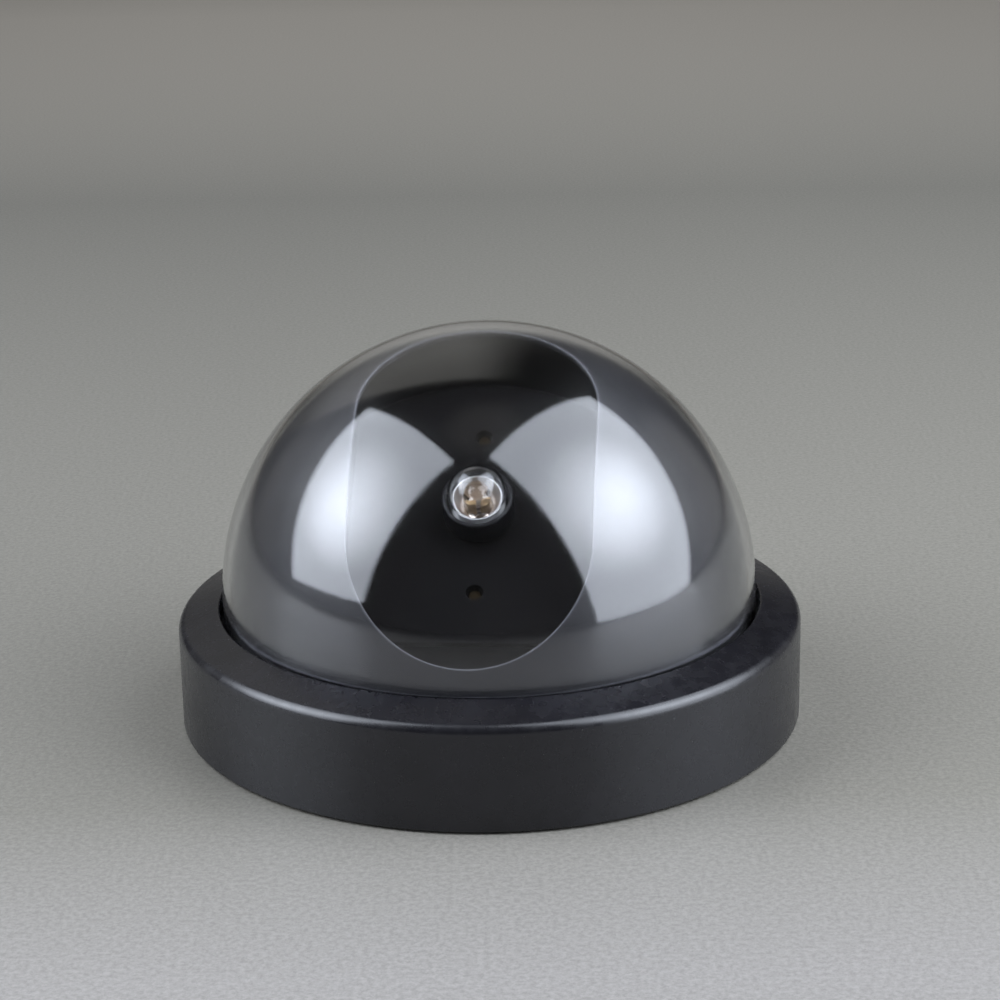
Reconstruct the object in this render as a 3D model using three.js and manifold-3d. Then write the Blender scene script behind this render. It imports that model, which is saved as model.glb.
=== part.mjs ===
// A ceiling dome camera: a round base under a clear dome, with a battery-powered flashing lens
// that pans and tilts behind the opening of a black liner.
// Millimetres, +Z up. The base stands on z = 0 and the camera looks towards -Y.

import * as THREE from "three";
import { mergeVertices } from "three/addons/utils/BufferGeometryUtils.js";
import Module from "manifold-3d";

const wasm = await Module();
wasm.setup();

// ---- Driving dimensions -------------------------------------------------------------------

const GAP = 0.3; // between pieces that bear on each other
const RUNNING = 0.08; // radial clearance of a turning shaft
const ROUND = 48; // facets of the base ring
const ROUND_INSIDE = 40; // of the large pieces inside it
const ROUND_SHELL = 36; // of the dome and the liner
const ROUND_LENS = 24; // of the pieces of the lens
const ROUND_SMALL = 16; // of screws, bosses and holes
const SHELL_STEPS = 7; // facets from a shell's crown to its rim

const BASE_R = 59;
const BASE_EDGE_R = 2;
const BASE_EDGE_Z = 18.4; // height of the centre of the rounded edge
const SHOULDER_ANGLE = 72; // the edge turns this far before it runs into the sloping shoulder
const BASE_WALL = 2.2;
const BASE_LIFT = 0.4; // the base stops just short of the surface that the plate lies on
const SEAM_R = 51.1; // inner lip of the shoulder, round the dome
const SEAM_Z = 22.3;
const LIP = 0.5; // chamfer of that lip

const DOME_R = 50.5;
const DOME_WALL = 1.2;
const DOME_Z = 24; // height of the dome's centre
const DOME_FLANGE_R = 54.6;
const DOME_FLANGE_Z = [16.9, 18.3];

const LINER_R = 48.7;
const LINER_WALL = 1.2;
const LINER_Z = 21.4; // its lower edge
const SLOT_Y = [-35.7, 33.2]; // its lower and upper ends, across the lens axis
const SLOT_HALF_WIDTH = 21.4;
const SLOT_FROM = 20; // the cutter starts this far out from the dome's centre

const VIEW_ELEVATION = 50.5; // the lens axis above the horizontal
const PIVOT_OUT = 4; // the tilt axis crosses the lens axis this far out from the dome's centre

const PLATE_R = 54;
const PLATE_THICK = 2;
const KEYHOLE_X = 35;
const KEYHOLE_HEAD_R = 3.8;
const KEYHOLE_SLOT_R = 1.9;
const KEYHOLE_LENGTH = 8;

const BAYONET_ANGLES = [90, 210, 330];
const BAYONET_HALF = 7; // half the width of a tab or lug, in degrees
const TAB_R = [51, 55.6];
const TAB_POST_R = 53.2;
const TAB_Z = [5.3, 6.8];
const LUG_R = [54.4, 57.5];
const LUG_Z = [3.4, 5];

const BOSS_ANGLES = [45, 135, 225, 315];
const BOSS_CIRCLE_R = 53.6;
const BOSS_R = 2.3;
const BOSS_HOLE_R = 1.4;
const BOSS_Z = [16.8, 20.2];

const DECK_Z = [17.8, 19.3];
const DECK_R = 48.5;
const CHASSIS_FLANGE_R = 56.3;
const CHASSIS_FLANGE_Z = [15, 16.6];
const TRAY_HALF = [31, 21.1]; // inside of the battery tray
const TRAY_WALL = 1.4;
const TRAY_Z = 3; // its lower edge

const CELL_R = 7.1;
const CELL_LENGTH = 49.2;
const CELL_NUB = [2.7, 1.2]; // radius and height
const CELL_Y = 13.5;
const CELL_Z = 10;
const CELL_TIP_X = 27.6;
const CONTACT_X = 30.2; // inner face of the contact plates
const CONTACT_THICK = 0.5;
const CONTACT_Z = [5, 15];

const HUB_R = 5;
const HUB_BORE_R = 3.4;
const HUB_Z = 14.2; // its lower end
const CLIP_GROOVE_R = 4.5;
const CLIP_GROOVE_Z = [14.8, 15.9];
const CLIP_R = 7.4;
const CLIP_THICK = 0.5;
const TURNTABLE_R = 47.5;
const TURNTABLE_Z = [19.6, 21.1];
const PAN_STOP_HALF = 4; // half the width of the pan stops, in degrees

const LINER_TAB_ANGLES = [90, 205, 335];
const LINER_TAB_HALF = 5; // half its width, in degrees
const LINER_TAB_R = 40.5; // its inner end
const LINER_TAB_Z = 22.8;
const LINER_HOLE_R = 1.1;
const LINER_SCREW_CIRCLE_R = 42.8;

const YOKE_X = [31.7, 33.7];
const YOKE_R = 5;
const TRUNNION_R = 1.5;
const WASHER_R = 4.2;
const WASHER_THICK = 0.6;
const CRADLE_ARM_X = [28.7, 30.5];
const CRADLE_ARM_R = 4.2;
const CRADLE_HALF = [16, 20.5];
const CRADLE_STRAP_HALF = 5; // half the width of the straps that carry its arms
const CRADLE_WINDOW_HALF = [10.5, 8.5];
const CRADLE_Z = [20.7, 22.3]; // these heights and those below are along the lens axis

const PANEL_HALF_WIDTH = 23.8;
const PANEL_Y = [-27, 28.5];
const PANEL_CORNER_R = 11; // of its lower corners
const PANEL_TOP_R = 38.5; // its upper edge is an arc
const PANEL_Z = [24.5, 26];
const PANEL_SCREW_Y = 16.5;
const PANEL_SCREW_HOLE_R = 1.35;
const PANEL_BOSS_R = 2.6;
const BOARD_POST_R = 1.5;
const PILOT_R = 0.8;
const PANEL_SCREW_SUNK = 1.3; // its tip stays this far below the panel's face

const BARREL_R = 6.4;
const BARREL_BORE_R = 5.65;
const BARREL_FLOOR = 27.5;
const BARREL_FRONT = 31.6;
const SPIGOT_R = 4.2;
const SPIGOT_BORE_R = 3.3;
const SPIGOT_BACK = 23.7;
const LENS_R = 5.35;
const LENS_WALL = 0.45;
const LENS_Z = [28.6, 32.8]; // its open lower edge and the centre of its domed front
const CUP_Z = [27.8, 28.3, 31.6]; // underside and top of its flange, and its mouth
const CUP_MOUTH_R = 4.6;
const CUP_WALL = 0.25;

const LED_R = 2.5;
const LED_Z = [26, 27, 32.2]; // base, top of the rim, start of the round top
const LED_LEG_X = 1.27;
const LED_LEG_R = 0.25;
const LED_RIM = 0.4; // the rim stands out this far
const BOARD_HALF = [9, 7];
const BOARD_Z = [21.9, 23.1];
const BOARD_SCREW_AT = [[7, 4.5], [-7, -4.5]];

const LEAD_R = 0.55;
const LEAD_APART = 1.3; // half the distance between the two leads

// ---- Finishes -----------------------------------------------------------------------------

const finish = (color, roughness, metalness = 0) =>
  new THREE.MeshStandardMaterial({ color, roughness, metalness });

const blackPlastic = () => finish(0x1d1e21, 0.45);
const glossPlastic = () => finish(0x131417, 0.12);
const panelPlastic = () => finish(0x191a1c, 0.4);
const whitePlastic = () => finish(0xd9d7cf, 0.5);
const zincSteel = () => finish(0xb9bcc0, 0.35, 1);
const yellowZinc = () => finish(0xb8923f, 0.35, 1);
const springSteel = () => finish(0xc9cacc, 0.3, 1);
const chromePlate = () => finish(0xe4e5e7, 0.08, 1);

function clearPlastic(opacity) {
  const material = finish(0xdfe3e6, 0.03);
  material.transparent = true;
  material.opacity = opacity;
  return material;
}

// ---- Geometry helpers ---------------------------------------------------------------------

const radians = THREE.MathUtils.degToRad;

function solid(geometry) {
  const bare = geometry.clone();
  bare.deleteAttribute("normal");
  bare.deleteAttribute("uv");
  const merged = mergeVertices(bare, 1e-4);
  const index = merged.index.array;
  const triangles = [];
  for (let i = 0; i < index.length; i += 3) {
    const [a, b, c] = index.slice(i, i + 3);
    if (a !== b && b !== c && c !== a) triangles.push(a, b, c);
  }
  const mesh = new wasm.Mesh({
    numProp: 3,
    vertProperties: new Float32Array(merged.attributes.position.array),
    triVerts: new Uint32Array(triangles),
  });
  return new wasm.Manifold(mesh);
}

function surface(body) {
  const mesh = body.getMesh();
  const geometry = new THREE.BufferGeometry();
  geometry.setAttribute("position", new THREE.BufferAttribute(mesh.vertProperties, 3));
  geometry.setIndex(new THREE.BufferAttribute(mesh.triVerts, 1));
  return geometry;
}

function join(first, ...others) {
  return surface(others.reduce((body, other) => body.add(solid(other)), solid(first)));
}

function cut(first, ...others) {
  return surface(others.reduce((body, other) => body.subtract(solid(other)), solid(first)));
}

// Points [radius, height] of a turned piece, in order round its section. Those that close on
// the axis start and end there.
function turned(points, segments = ROUND_SMALL) {
  const onAxis = points[0][0] === 0;
  const ring = onAxis ? points : [...points, points[0]];
  const area = ring.reduce((sum, [r, z], i) => {
    const [nextR, nextZ] = ring[(i + 1) % ring.length];
    return sum + r * nextZ - nextR * z;
  }, 0);
  const ordered = area > 0 ? ring : [...ring].reverse();
  const profile = ordered.map(([r, z]) => new THREE.Vector2(r, z));
  return new THREE.LatheGeometry(profile, segments).rotateX(Math.PI / 2);
}

function arc(centreR, centreZ, radius, from, to, steps) {
  return Array.from({ length: steps + 1 }, (_, i) => {
    const angle = radians(from + ((to - from) * i) / steps);
    const r = centreR + radius * Math.cos(angle);
    return [Math.abs(r) < 1e-9 ? 0 : r, centreZ + radius * Math.sin(angle)];
  });
}

function box([x0, x1], [y0, y1], [z0, z1]) {
  const geometry = new THREE.BoxGeometry(x1 - x0, y1 - y0, z1 - z0);
  return geometry.translate((x0 + x1) / 2, (y0 + y1) / 2, (z0 + z1) / 2);
}

function post(radius, [z0, z1], x = 0, y = 0, segments = ROUND_SMALL) {
  return turned([[0, z0], [radius, z0], [radius, z1], [0, z1]], segments).translate(x, y, 0);
}

function plate(shape, [z0, z1], curveSegments = 12) {
  const options = { depth: z1 - z0, bevelEnabled: false, curveSegments };
  return new THREE.ExtrudeGeometry(shape, options).translate(0, 0, z0);
}

// A block between two radii and two angles about the vertical axis.
function sector([r0, r1], [from, to], heights) {
  const shape = new THREE.Shape();
  shape.absarc(0, 0, r1, radians(from), radians(to), false);
  shape.absarc(0, 0, r0, radians(to), radians(from), true);
  shape.closePath();
  return plate(shape, heights, Math.max(3, Math.ceil((to - from) / 20)));
}

function roundedRectangle(halfWidth, [y0, y1], r) {
  const shape = new THREE.Shape();
  shape.absarc(halfWidth - r, y0 + r, r, -Math.PI / 2, 0, false);
  shape.absarc(halfWidth - r, y1 - r, r, 0, Math.PI / 2, false);
  shape.absarc(r - halfWidth, y1 - r, r, Math.PI / 2, Math.PI, false);
  shape.absarc(r - halfWidth, y0 + r, r, Math.PI, Math.PI * 1.5, false);
  shape.closePath();
  return shape;
}

// A circle of metal or plastic round a pivot, with a straight strap from it to a foot.
function strap(radius, pivot, foot) {
  const shape = new THREE.Shape();
  const upwards = pivot > foot;
  shape.moveTo(upwards ? -radius : radius, foot);
  shape.lineTo(upwards ? radius : -radius, foot);
  shape.absarc(0, pivot, radius, upwards ? 0 : Math.PI, upwards ? Math.PI : 2 * Math.PI, false);
  shape.closePath();
  return shape;
}

// Turns a plate drawn in X and Y so that it stands in Y and Z, its thickness along X.
function upright(geometry) {
  const [x, y, z] = [0, 1, 2].map((i) => new THREE.Vector3().setComponent(i, 1));
  return geometry.applyMatrix4(new THREE.Matrix4().makeBasis(y, z, x));
}

function around(radius, degrees) {
  return [radius * Math.cos(radians(degrees)), radius * Math.sin(radians(degrees))];
}

function wire(points) {
  const path = new THREE.CatmullRomCurve3(points.map((p) => new THREE.Vector3(...p)));
  return rod(path, LEAD_R, 3 * points.length);
}

function rod(path, radius, steps) {
  const section = new THREE.Shape().absarc(0, 0, radius, 0, 2 * Math.PI, false);
  const options = { steps, extrudePath: path, curveSegments: 3, bevelEnabled: false };
  return new THREE.ExtrudeGeometry(section, options);
}

// A cross-head screw standing on the underside of its head, its shank up along +Z.
function screw(headR, headHeight, shankR, length) {
  const profile = [
    [0, -headHeight],
    [0.7 * headR, -headHeight],
    [headR, -0.5 * headHeight],
    [headR, 0],
    [shankR, 0],
    [shankR, length],
    [0, length],
  ];
  const across = [-0.6 * headR, 0.6 * headR];
  const wide = [-0.15 * headR, 0.15 * headR];
  const deep = [-headHeight - 1, -0.45 * headHeight];
  return cut(turned(profile, 10), box(across, wide, deep), box(wide, across, deep));
}

// ---- Scene graph --------------------------------------------------------------------------

const camera = new THREE.Group();

// Along the lens: x across, y up the panel, z out along the lens axis from the dome's centre.
const lensFrame = new THREE.Group();
lensFrame.position.set(0, 0, DOME_Z);
lensFrame.rotation.x = radians(90 - VIEW_ELEVATION);
camera.add(lensFrame);

function place(parent, name, geometry, material, position = [0, 0, 0]) {
  const mesh = new THREE.Mesh(geometry, material);
  mesh.name = name;
  mesh.position.set(...position);
  parent.add(mesh);
  return mesh;
}

const pivotY = -PIVOT_OUT * Math.cos(radians(VIEW_ELEVATION));
const pivotZ = DOME_Z + PIVOT_OUT * Math.sin(radians(VIEW_ELEVATION));

// ---- Mounting plate -----------------------------------------------------------------------

function keyhole(x) {
  const slot = strap(KEYHOLE_SLOT_R, KEYHOLE_LENGTH, 0);
  const height = [-1, PLATE_THICK + 1];
  return [post(KEYHOLE_HEAD_R, height, x, 0), plate(slot, height, 8).translate(x, 0, 0)];
}

function bayonetTab(degrees) {
  const span = [degrees - BAYONET_HALF - 2.5, degrees + BAYONET_HALF];
  const stop = [span[0], span[0] + 2.1];
  return [
    sector([TAB_R[0], TAB_POST_R], span, [PLATE_THICK - 0.5, TAB_Z[1]]),
    sector([TAB_POST_R - 0.2, TAB_R[1]], span, TAB_Z),
    sector([TAB_POST_R - 0.2, TAB_R[1]], stop, [LUG_Z[0] - 0.6, TAB_Z[0] + 0.1]),
  ];
}

function mountingPlate() {
  const disc = post(PLATE_R, [0, PLATE_THICK], 0, 0, ROUND_INSIDE);
  const withTabs = join(disc, ...BAYONET_ANGLES.flatMap(bayonetTab));
  return cut(withTabs, ...keyhole(-KEYHOLE_X), ...keyhole(KEYHOLE_X));
}

place(camera, "mounting_plate", mountingPlate(), blackPlastic());

// ---- Housing: base ring, dome, chassis and cells ------------------------------------------

function housingRing() {
  const inner = BASE_R - BASE_WALL;
  const edgeR = BASE_R - BASE_EDGE_R;
  const shell = turned([
    [inner, BASE_LIFT],
    [BASE_R, BASE_LIFT],
    ...arc(edgeR, BASE_EDGE_Z, BASE_EDGE_R, 0, SHOULDER_ANGLE, 4),
    [SEAM_R + LIP, SEAM_Z],
    [SEAM_R, SEAM_Z - LIP],
    [SEAM_R, BOSS_Z[1]],
    [DOME_FLANGE_R + 0.7, DOME_FLANGE_Z[1] + GAP],
    [inner, CHASSIS_FLANGE_Z[1]],
  ], ROUND);
  const bosses = BOSS_ANGLES.map((a) => post(BOSS_R, BOSS_Z, ...around(BOSS_CIRCLE_R, a), 10));
  const lugs = BAYONET_ANGLES.map((a) => sector(LUG_R, [a - BAYONET_HALF, a + BAYONET_HALF], LUG_Z));
  const drill = [BOSS_Z[0] - 1, BOSS_Z[1] - 0.6];
  const holes = BOSS_ANGLES.map((a) => post(BOSS_HOLE_R, drill, ...around(BOSS_CIRCLE_R, a), 10));
  return cut(join(shell, ...bosses, ...lugs), ...holes);
}

function clearDome() {
  const inner = DOME_R - DOME_WALL;
  const shell = turned([
    ...arc(0, DOME_Z, inner, 90, 0, SHELL_STEPS),
    [inner, DOME_FLANGE_Z[0]],
    [DOME_FLANGE_R, DOME_FLANGE_Z[0]],
    [DOME_FLANGE_R, DOME_FLANGE_Z[1]],
    [DOME_R, DOME_FLANGE_Z[1]],
    ...arc(0, DOME_Z, DOME_R, 0, 90, SHELL_STEPS),
  ], ROUND_SHELL);
  const height = [DOME_FLANGE_Z[0] - 1, DOME_FLANGE_Z[1] + 1];
  const notches = BOSS_ANGLES.map((a) => post(BOSS_R + 0.4, height, ...around(BOSS_CIRCLE_R, a), 10));
  return cut(shell, ...notches);
}

function chassis() {
  const bearing = HUB_R + RUNNING;
  const shell = turned([
    [bearing, CLIP_GROOVE_Z[1] + GAP],
    [bearing + 2, CLIP_GROOVE_Z[1] + GAP],
    [bearing + 2, DECK_Z[0]],
    [DECK_R - 1.6, DECK_Z[0]],
    [DECK_R - 1.6, CHASSIS_FLANGE_Z[0]],
    [CHASSIS_FLANGE_R, CHASSIS_FLANGE_Z[0]],
    [CHASSIS_FLANGE_R, CHASSIS_FLANGE_Z[1]],
    [DECK_R, CHASSIS_FLANGE_Z[1]],
    [DECK_R, DECK_Z[1]],
    [bearing, DECK_Z[1]],
  ], ROUND_INSIDE);
  const [insideX, insideY] = TRAY_HALF;
  const [outX, outY] = [insideX + TRAY_WALL, insideY + TRAY_WALL];
  const wallZ = [TRAY_Z, DECK_Z[0] + 0.1];
  const dividerZ = [CELL_Z - 3, DECK_Z[0] + 0.1];
  const walls = [-1, 1].flatMap((side) => [
    box([-outX, outX], [side * insideY, side * outY].sort((a, b) => a - b), wallZ),
    box([side * insideX, side * outX].sort((a, b) => a - b), [-outY, outY], wallZ),
    box([9, insideX - 3], [side * 5, side * 6].sort((a, b) => a - b), dividerZ),
    box([3 - insideX, -9], [side * 5, side * 6].sort((a, b) => a - b), dividerZ),
  ]);
  const stopSpan = [90 - PAN_STOP_HALF, 90 + PAN_STOP_HALF];
  const stop = sector([TURNTABLE_R + 0.4, DECK_R], stopSpan, [DECK_Z[1] - 0.5, TURNTABLE_Z[1]]);
  const drill = [CHASSIS_FLANGE_Z[0] - 1, CHASSIS_FLANGE_Z[1] + 1];
  const holes = BOSS_ANGLES.map((a) => post(BOSS_HOLE_R + 0.1, drill, ...around(BOSS_CIRCLE_R, a), 10));
  return cut(join(shell, ...walls, stop), ...holes);
}

function cell(tipSide) {
  const [nubR, nubHeight] = CELL_NUB;
  const bottom = -CELL_LENGTH - nubHeight;
  const body = turned([
    [0, bottom],
    [CELL_R, bottom],
    [CELL_R, -nubHeight],
    [nubR, -nubHeight],
    [nubR, 0],
    [0, 0],
  ], 20);
  return body.rotateY((tipSide * Math.PI) / 2).translate(tipSide * CELL_TIP_X, 0, 0);
}

// A contact plate at one end of the tray. A dimple faces each cell whose nub points there.
function contact(side, ySpan, dimpleY) {
  const faces = [side * CONTACT_X, side * (CONTACT_X + CONTACT_THICK)].sort((a, b) => a - b);
  const strip = box(faces, ySpan, CONTACT_Z);
  if (dimpleY === undefined) return strip;
  const dimple = turned([[0, 0], [3, 0], [2, -2.2], [0, -2.2]]);
  dimple.rotateY((side * Math.PI) / 2).translate(side * (CONTACT_X + 0.1), dimpleY, CELL_Z);
  return join(strip, dimple);
}

class ConicalHelix extends THREE.Curve {
  constructor(radiusStart, radiusEnd, length, turns) {
    super();
    Object.assign(this, { radiusStart, radiusEnd, length, turns });
  }

  getPoint(t, target = new THREE.Vector3()) {
    const radius = THREE.MathUtils.lerp(this.radiusStart, this.radiusEnd, t);
    const angle = 2 * Math.PI * this.turns * t;
    return target.set(this.length * t, radius * Math.cos(angle), radius * Math.sin(angle));
  }
}

function batterySpring(side) {
  const wireR = 0.35;
  const from = CONTACT_X - GAP - wireR;
  const flatEnd = CELL_LENGTH + CELL_NUB[1] - CELL_TIP_X;
  const coil = new ConicalHelix(4.6, 3, from - flatEnd - GAP - wireR, 3.5);
  return rod(coil, wireR, 35).rotateY(side > 0 ? Math.PI : 0).translate(side * from, 0, 0);
}

function batteryLead(side) {
  const y = side * LEAD_APART;
  const startX = CONTACT_X - GAP;
  return wire([
    [startX, side * 3.8, CELL_Z],
    [startX - 4, side * 3.4, CELL_Z],
    [14, y, CELL_Z - 0.5],
    [5, y, CELL_Z - 0.3],
    [1.2, y, CELL_Z + 1.4],
    [0, y, CELL_Z + 4.5],
    [0, y, DECK_Z[0] + 0.1],
  ]);
}

place(camera, "housing_ring", housingRing(), blackPlastic());
place(camera, "clear_dome", clearDome(), clearPlastic(0.25));
place(camera, "chassis", chassis(), blackPlastic());

BOSS_ANGLES.forEach((degrees, i) => {
  const [x, y] = around(BOSS_CIRCLE_R, degrees);
  const geometry = screw(2.4, 1.6, BOSS_HOLE_R - GAP, 4.6);
  place(camera, `chassis_screw_${i + 1}`, geometry, zincSteel(), [x, y, CHASSIS_FLANGE_Z[0] - GAP]);
});

[1, -1].forEach((side, i) => {
  place(camera, `aa_cell_${i + 1}`, cell(side), finish(0x2c4f8f, 0.3, 0.3),
    [0, side * CELL_Y, CELL_Z]);
  place(camera, `battery_spring_${i + 1}`, batterySpring(-side), springSteel(),
    [0, side * CELL_Y, CELL_Z]);
});
place(camera, "battery_link_plate", contact(-1, [-18.5, 18.5], -CELL_Y), springSteel());
place(camera, "battery_terminal_plus", contact(1, [3, 18.5], CELL_Y), springSteel());
place(camera, "battery_terminal_minus", contact(1, [-18.5, -3]), springSteel());
place(camera, "battery_lead_red", batteryLead(1), finish(0x9c1f1c, 0.45));
place(camera, "battery_lead_black", batteryLead(-1), finish(0x17181a, 0.45));

// ---- Pan: turntable, liner and the leads through the hub -----------------------------------

function turntable() {
  const disc = turned([
    [HUB_BORE_R, HUB_Z],
    [HUB_R, HUB_Z],
    [HUB_R, CLIP_GROOVE_Z[0]],
    [CLIP_GROOVE_R, CLIP_GROOVE_Z[0]],
    [CLIP_GROOVE_R, CLIP_GROOVE_Z[1]],
    [HUB_R, CLIP_GROOVE_Z[1]],
    [HUB_R, TURNTABLE_Z[0]],
    [TURNTABLE_R, TURNTABLE_Z[0]],
    [TURNTABLE_R, TURNTABLE_Z[1]],
    [HUB_BORE_R, TURNTABLE_Z[1]],
  ], ROUND_INSIDE);
  const stopSpan = [-90 - PAN_STOP_HALF, -90 + PAN_STOP_HALF];
  const stop = sector([TURNTABLE_R - 0.5, DECK_R - 0.1], stopSpan, TURNTABLE_Z);
  const outline = strap(YOKE_R, pivotZ, TURNTABLE_Z[0] + 0.5);
  const arms = [YOKE_X, YOKE_X.map((x) => -x).reverse()].map((span) =>
    upright(plate(outline, span, 10)).translate(0, pivotY, 0));
  const across = [-YOKE_X[1] - 1, YOKE_X[1] + 1];
  const axleHole = post(TRUNNION_R + RUNNING, across, 0, 0, ROUND_LENS).rotateY(Math.PI / 2);
  axleHole.translate(0, pivotY, pivotZ);
  const drill = [TURNTABLE_Z[0] - 1, TURNTABLE_Z[1] + 1];
  const holes = LINER_TAB_ANGLES.map((a) =>
    post(LINER_HOLE_R, drill, ...around(LINER_SCREW_CIRCLE_R, a), 10));
  return cut(join(disc, stop, ...arms), axleHole, ...holes);
}

function panClip() {
  const middle = (CLIP_GROOVE_Z[0] + CLIP_GROOVE_Z[1]) / 2;
  const height = [middle - CLIP_THICK / 2, middle + CLIP_THICK / 2];
  return sector([CLIP_GROOVE_R + GAP, CLIP_R], [30, 330], height);
}

function slotCutter() {
  const outline = roundedRectangle(SLOT_HALF_WIDTH, SLOT_Y, SLOT_HALF_WIDTH - 0.01);
  const prism = plate(outline, [SLOT_FROM, DOME_R], 7);
  return prism.rotateX(lensFrame.rotation.x).translate(0, 0, DOME_Z);
}

function liner() {
  const inner = LINER_R - LINER_WALL;
  const shell = turned([
    ...arc(0, DOME_Z, inner, 90, 0, SHELL_STEPS),
    [inner, LINER_Z],
    [LINER_R, LINER_Z],
    ...arc(0, DOME_Z, LINER_R, 0, 90, SHELL_STEPS),
  ], ROUND_SHELL);
  const tabZ = [LINER_Z, LINER_TAB_Z];
  const tabs = LINER_TAB_ANGLES.map((a) =>
    sector([LINER_TAB_R, inner + 0.4], [a - LINER_TAB_HALF, a + LINER_TAB_HALF], tabZ));
  const drill = [LINER_Z - 1, LINER_TAB_Z + 1];
  const holes = LINER_TAB_ANGLES.map((a) =>
    post(LINER_HOLE_R, drill, ...around(LINER_SCREW_CIRCLE_R, a), 10));
  return cut(join(shell, ...tabs), slotCutter(), ...holes);
}

function panLead(side) {
  return wire([
    [0, side * LEAD_APART, DECK_Z[0] + 0.6],
    [0, side * LEAD_APART, TURNTABLE_Z[0]],
    [side * 0.7, side * 0.9 - 0.8, TURNTABLE_Z[1] + 1],
    [side * LEAD_APART, pivotY, pivotZ - 3.4],
    [side * LEAD_APART, pivotY, pivotZ - 1.6],
  ]);
}

place(camera, "pan_turntable", turntable(), blackPlastic());
place(camera, "pan_clip", panClip(), zincSteel());
place(camera, "liner", liner(), glossPlastic());
LINER_TAB_ANGLES.forEach((degrees, i) => {
  const [x, y] = around(LINER_SCREW_CIRCLE_R, degrees);
  const geometry = screw(1.9, 1.2, 0.8, 2.8).rotateX(Math.PI);
  place(camera, `liner_screw_${i + 1}`, geometry, zincSteel(), [x, y, LINER_TAB_Z + GAP]);
});
place(camera, "pan_lead_red", panLead(1), finish(0x9c1f1c, 0.45));
place(camera, "pan_lead_black", panLead(-1), finish(0x17181a, 0.45));

// ---- Tilt: cradle, lens panel, lens and flashing light -------------------------------------

function cradle() {
  const [halfX, halfY] = CRADLE_HALF;
  const frame = plate(roundedRectangle(halfX, [-halfY, halfY], 2), CRADLE_Z, 3);
  const strapX = CRADLE_ARM_X[1];
  const straps = box([-strapX, strapX], [-CRADLE_STRAP_HALF, CRADLE_STRAP_HALF], CRADLE_Z);
  const outline = strap(CRADLE_ARM_R, 0, CRADLE_Z[1] - PIVOT_OUT);
  const arms = [CRADLE_ARM_X, CRADLE_ARM_X.map((x) => -x).reverse()].map((span) =>
    upright(plate(outline, span, 10)).translate(0, 0, PIVOT_OUT));
  const drill = [CRADLE_Z[0] - 1, CRADLE_Z[1] + 1];
  const [openX, openY] = CRADLE_WINDOW_HALF;
  const window = box([-openX, openX], [-openY, openY], drill);
  const across = [-strapX - 1, strapX + 1];
  const axleHole = post(TRUNNION_R + GAP, across).rotateY(Math.PI / 2);
  axleHole.translate(0, 0, PIVOT_OUT);
  const holes = [-1, 1].map((side) => post(PANEL_SCREW_HOLE_R, drill, 0, side * PANEL_SCREW_Y, 12));
  return cut(join(frame, straps, ...arms), window, axleHole, ...holes);
}

function panelOutline() {
  const [low, top] = PANEL_Y;
  const cornerX = PANEL_HALF_WIDTH - PANEL_CORNER_R;
  const cornerY = low + PANEL_CORNER_R;
  const topAngle = Math.acos(PANEL_HALF_WIDTH / PANEL_TOP_R);
  const shape = new THREE.Shape();
  shape.absarc(cornerX, cornerY, PANEL_CORNER_R, -Math.PI / 2, 0, false);
  shape.absarc(0, top - PANEL_TOP_R, PANEL_TOP_R, topAngle, Math.PI - topAngle, false);
  shape.absarc(-cornerX, cornerY, PANEL_CORNER_R, Math.PI, Math.PI * 1.5, false);
  shape.closePath();
  return shape;
}

function lensPanel() {
  const face = plate(panelOutline(), PANEL_Z, 5);
  const backZ = [CRADLE_Z[1] + GAP, PANEL_Z[0] + 0.1];
  const bosses = [-1, 1].map((side) => post(PANEL_BOSS_R, backZ, 0, side * PANEL_SCREW_Y));
  const postZ = [BOARD_Z[1] + GAP, PANEL_Z[0] + 0.1];
  const boardPosts = BOARD_SCREW_AT.map((at) => post(BOARD_POST_R, postZ, ...at, 12));
  const through = [CRADLE_Z[1], PANEL_Z[1] + 1];
  const screwHoles = [-1, 1].map((side) =>
    post(PANEL_SCREW_HOLE_R, through, 0, side * PANEL_SCREW_Y));
  const pilot = [BOARD_Z[1], PANEL_Z[0] + 0.2];
  const pilotHoles = BOARD_SCREW_AT.map((at) => post(PILOT_R, pilot, ...at, 8));
  const spigotHole = post(SPIGOT_R + 0.4, through, 0, 0, ROUND_LENS);
  return cut(join(face, ...bosses, ...boardPosts), spigotHole, ...screwHoles, ...pilotHoles);
}

function lensBarrel() {
  const seat = PANEL_Z[1] + GAP;
  return turned([
    [SPIGOT_BORE_R, SPIGOT_BACK],
    [SPIGOT_R, SPIGOT_BACK],
    [SPIGOT_R, seat],
    [BARREL_R, seat],
    [BARREL_R, BARREL_FRONT - 0.4],
    [BARREL_R - 0.3, BARREL_FRONT],
    [BARREL_BORE_R, BARREL_FRONT],
    [BARREL_BORE_R, BARREL_FLOOR],
    [SPIGOT_BORE_R, BARREL_FLOOR],
  ], ROUND_LENS);
}

// A clear cap with a domed front, open behind.
function frontLens() {
  const [back, centre] = LENS_Z;
  const inner = LENS_R - LENS_WALL;
  return turned([
    ...arc(0, centre, inner, 90, 0, 5),
    [inner, back],
    [LENS_R, back],
    ...arc(0, centre, LENS_R, 0, 90, 5),
  ], ROUND_LENS);
}

function reflectorCup() {
  const [under, flange, mouth] = CUP_Z;
  const hole = LED_R + GAP;
  return turned([
    [hole, under],
    [LENS_R, under],
    [LENS_R, flange],
    [hole + 2 * CUP_WALL, flange],
    [CUP_MOUTH_R, mouth],
    [CUP_MOUTH_R - CUP_WALL, mouth],
    [hole, flange],
  ], ROUND_LENS);
}

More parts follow.
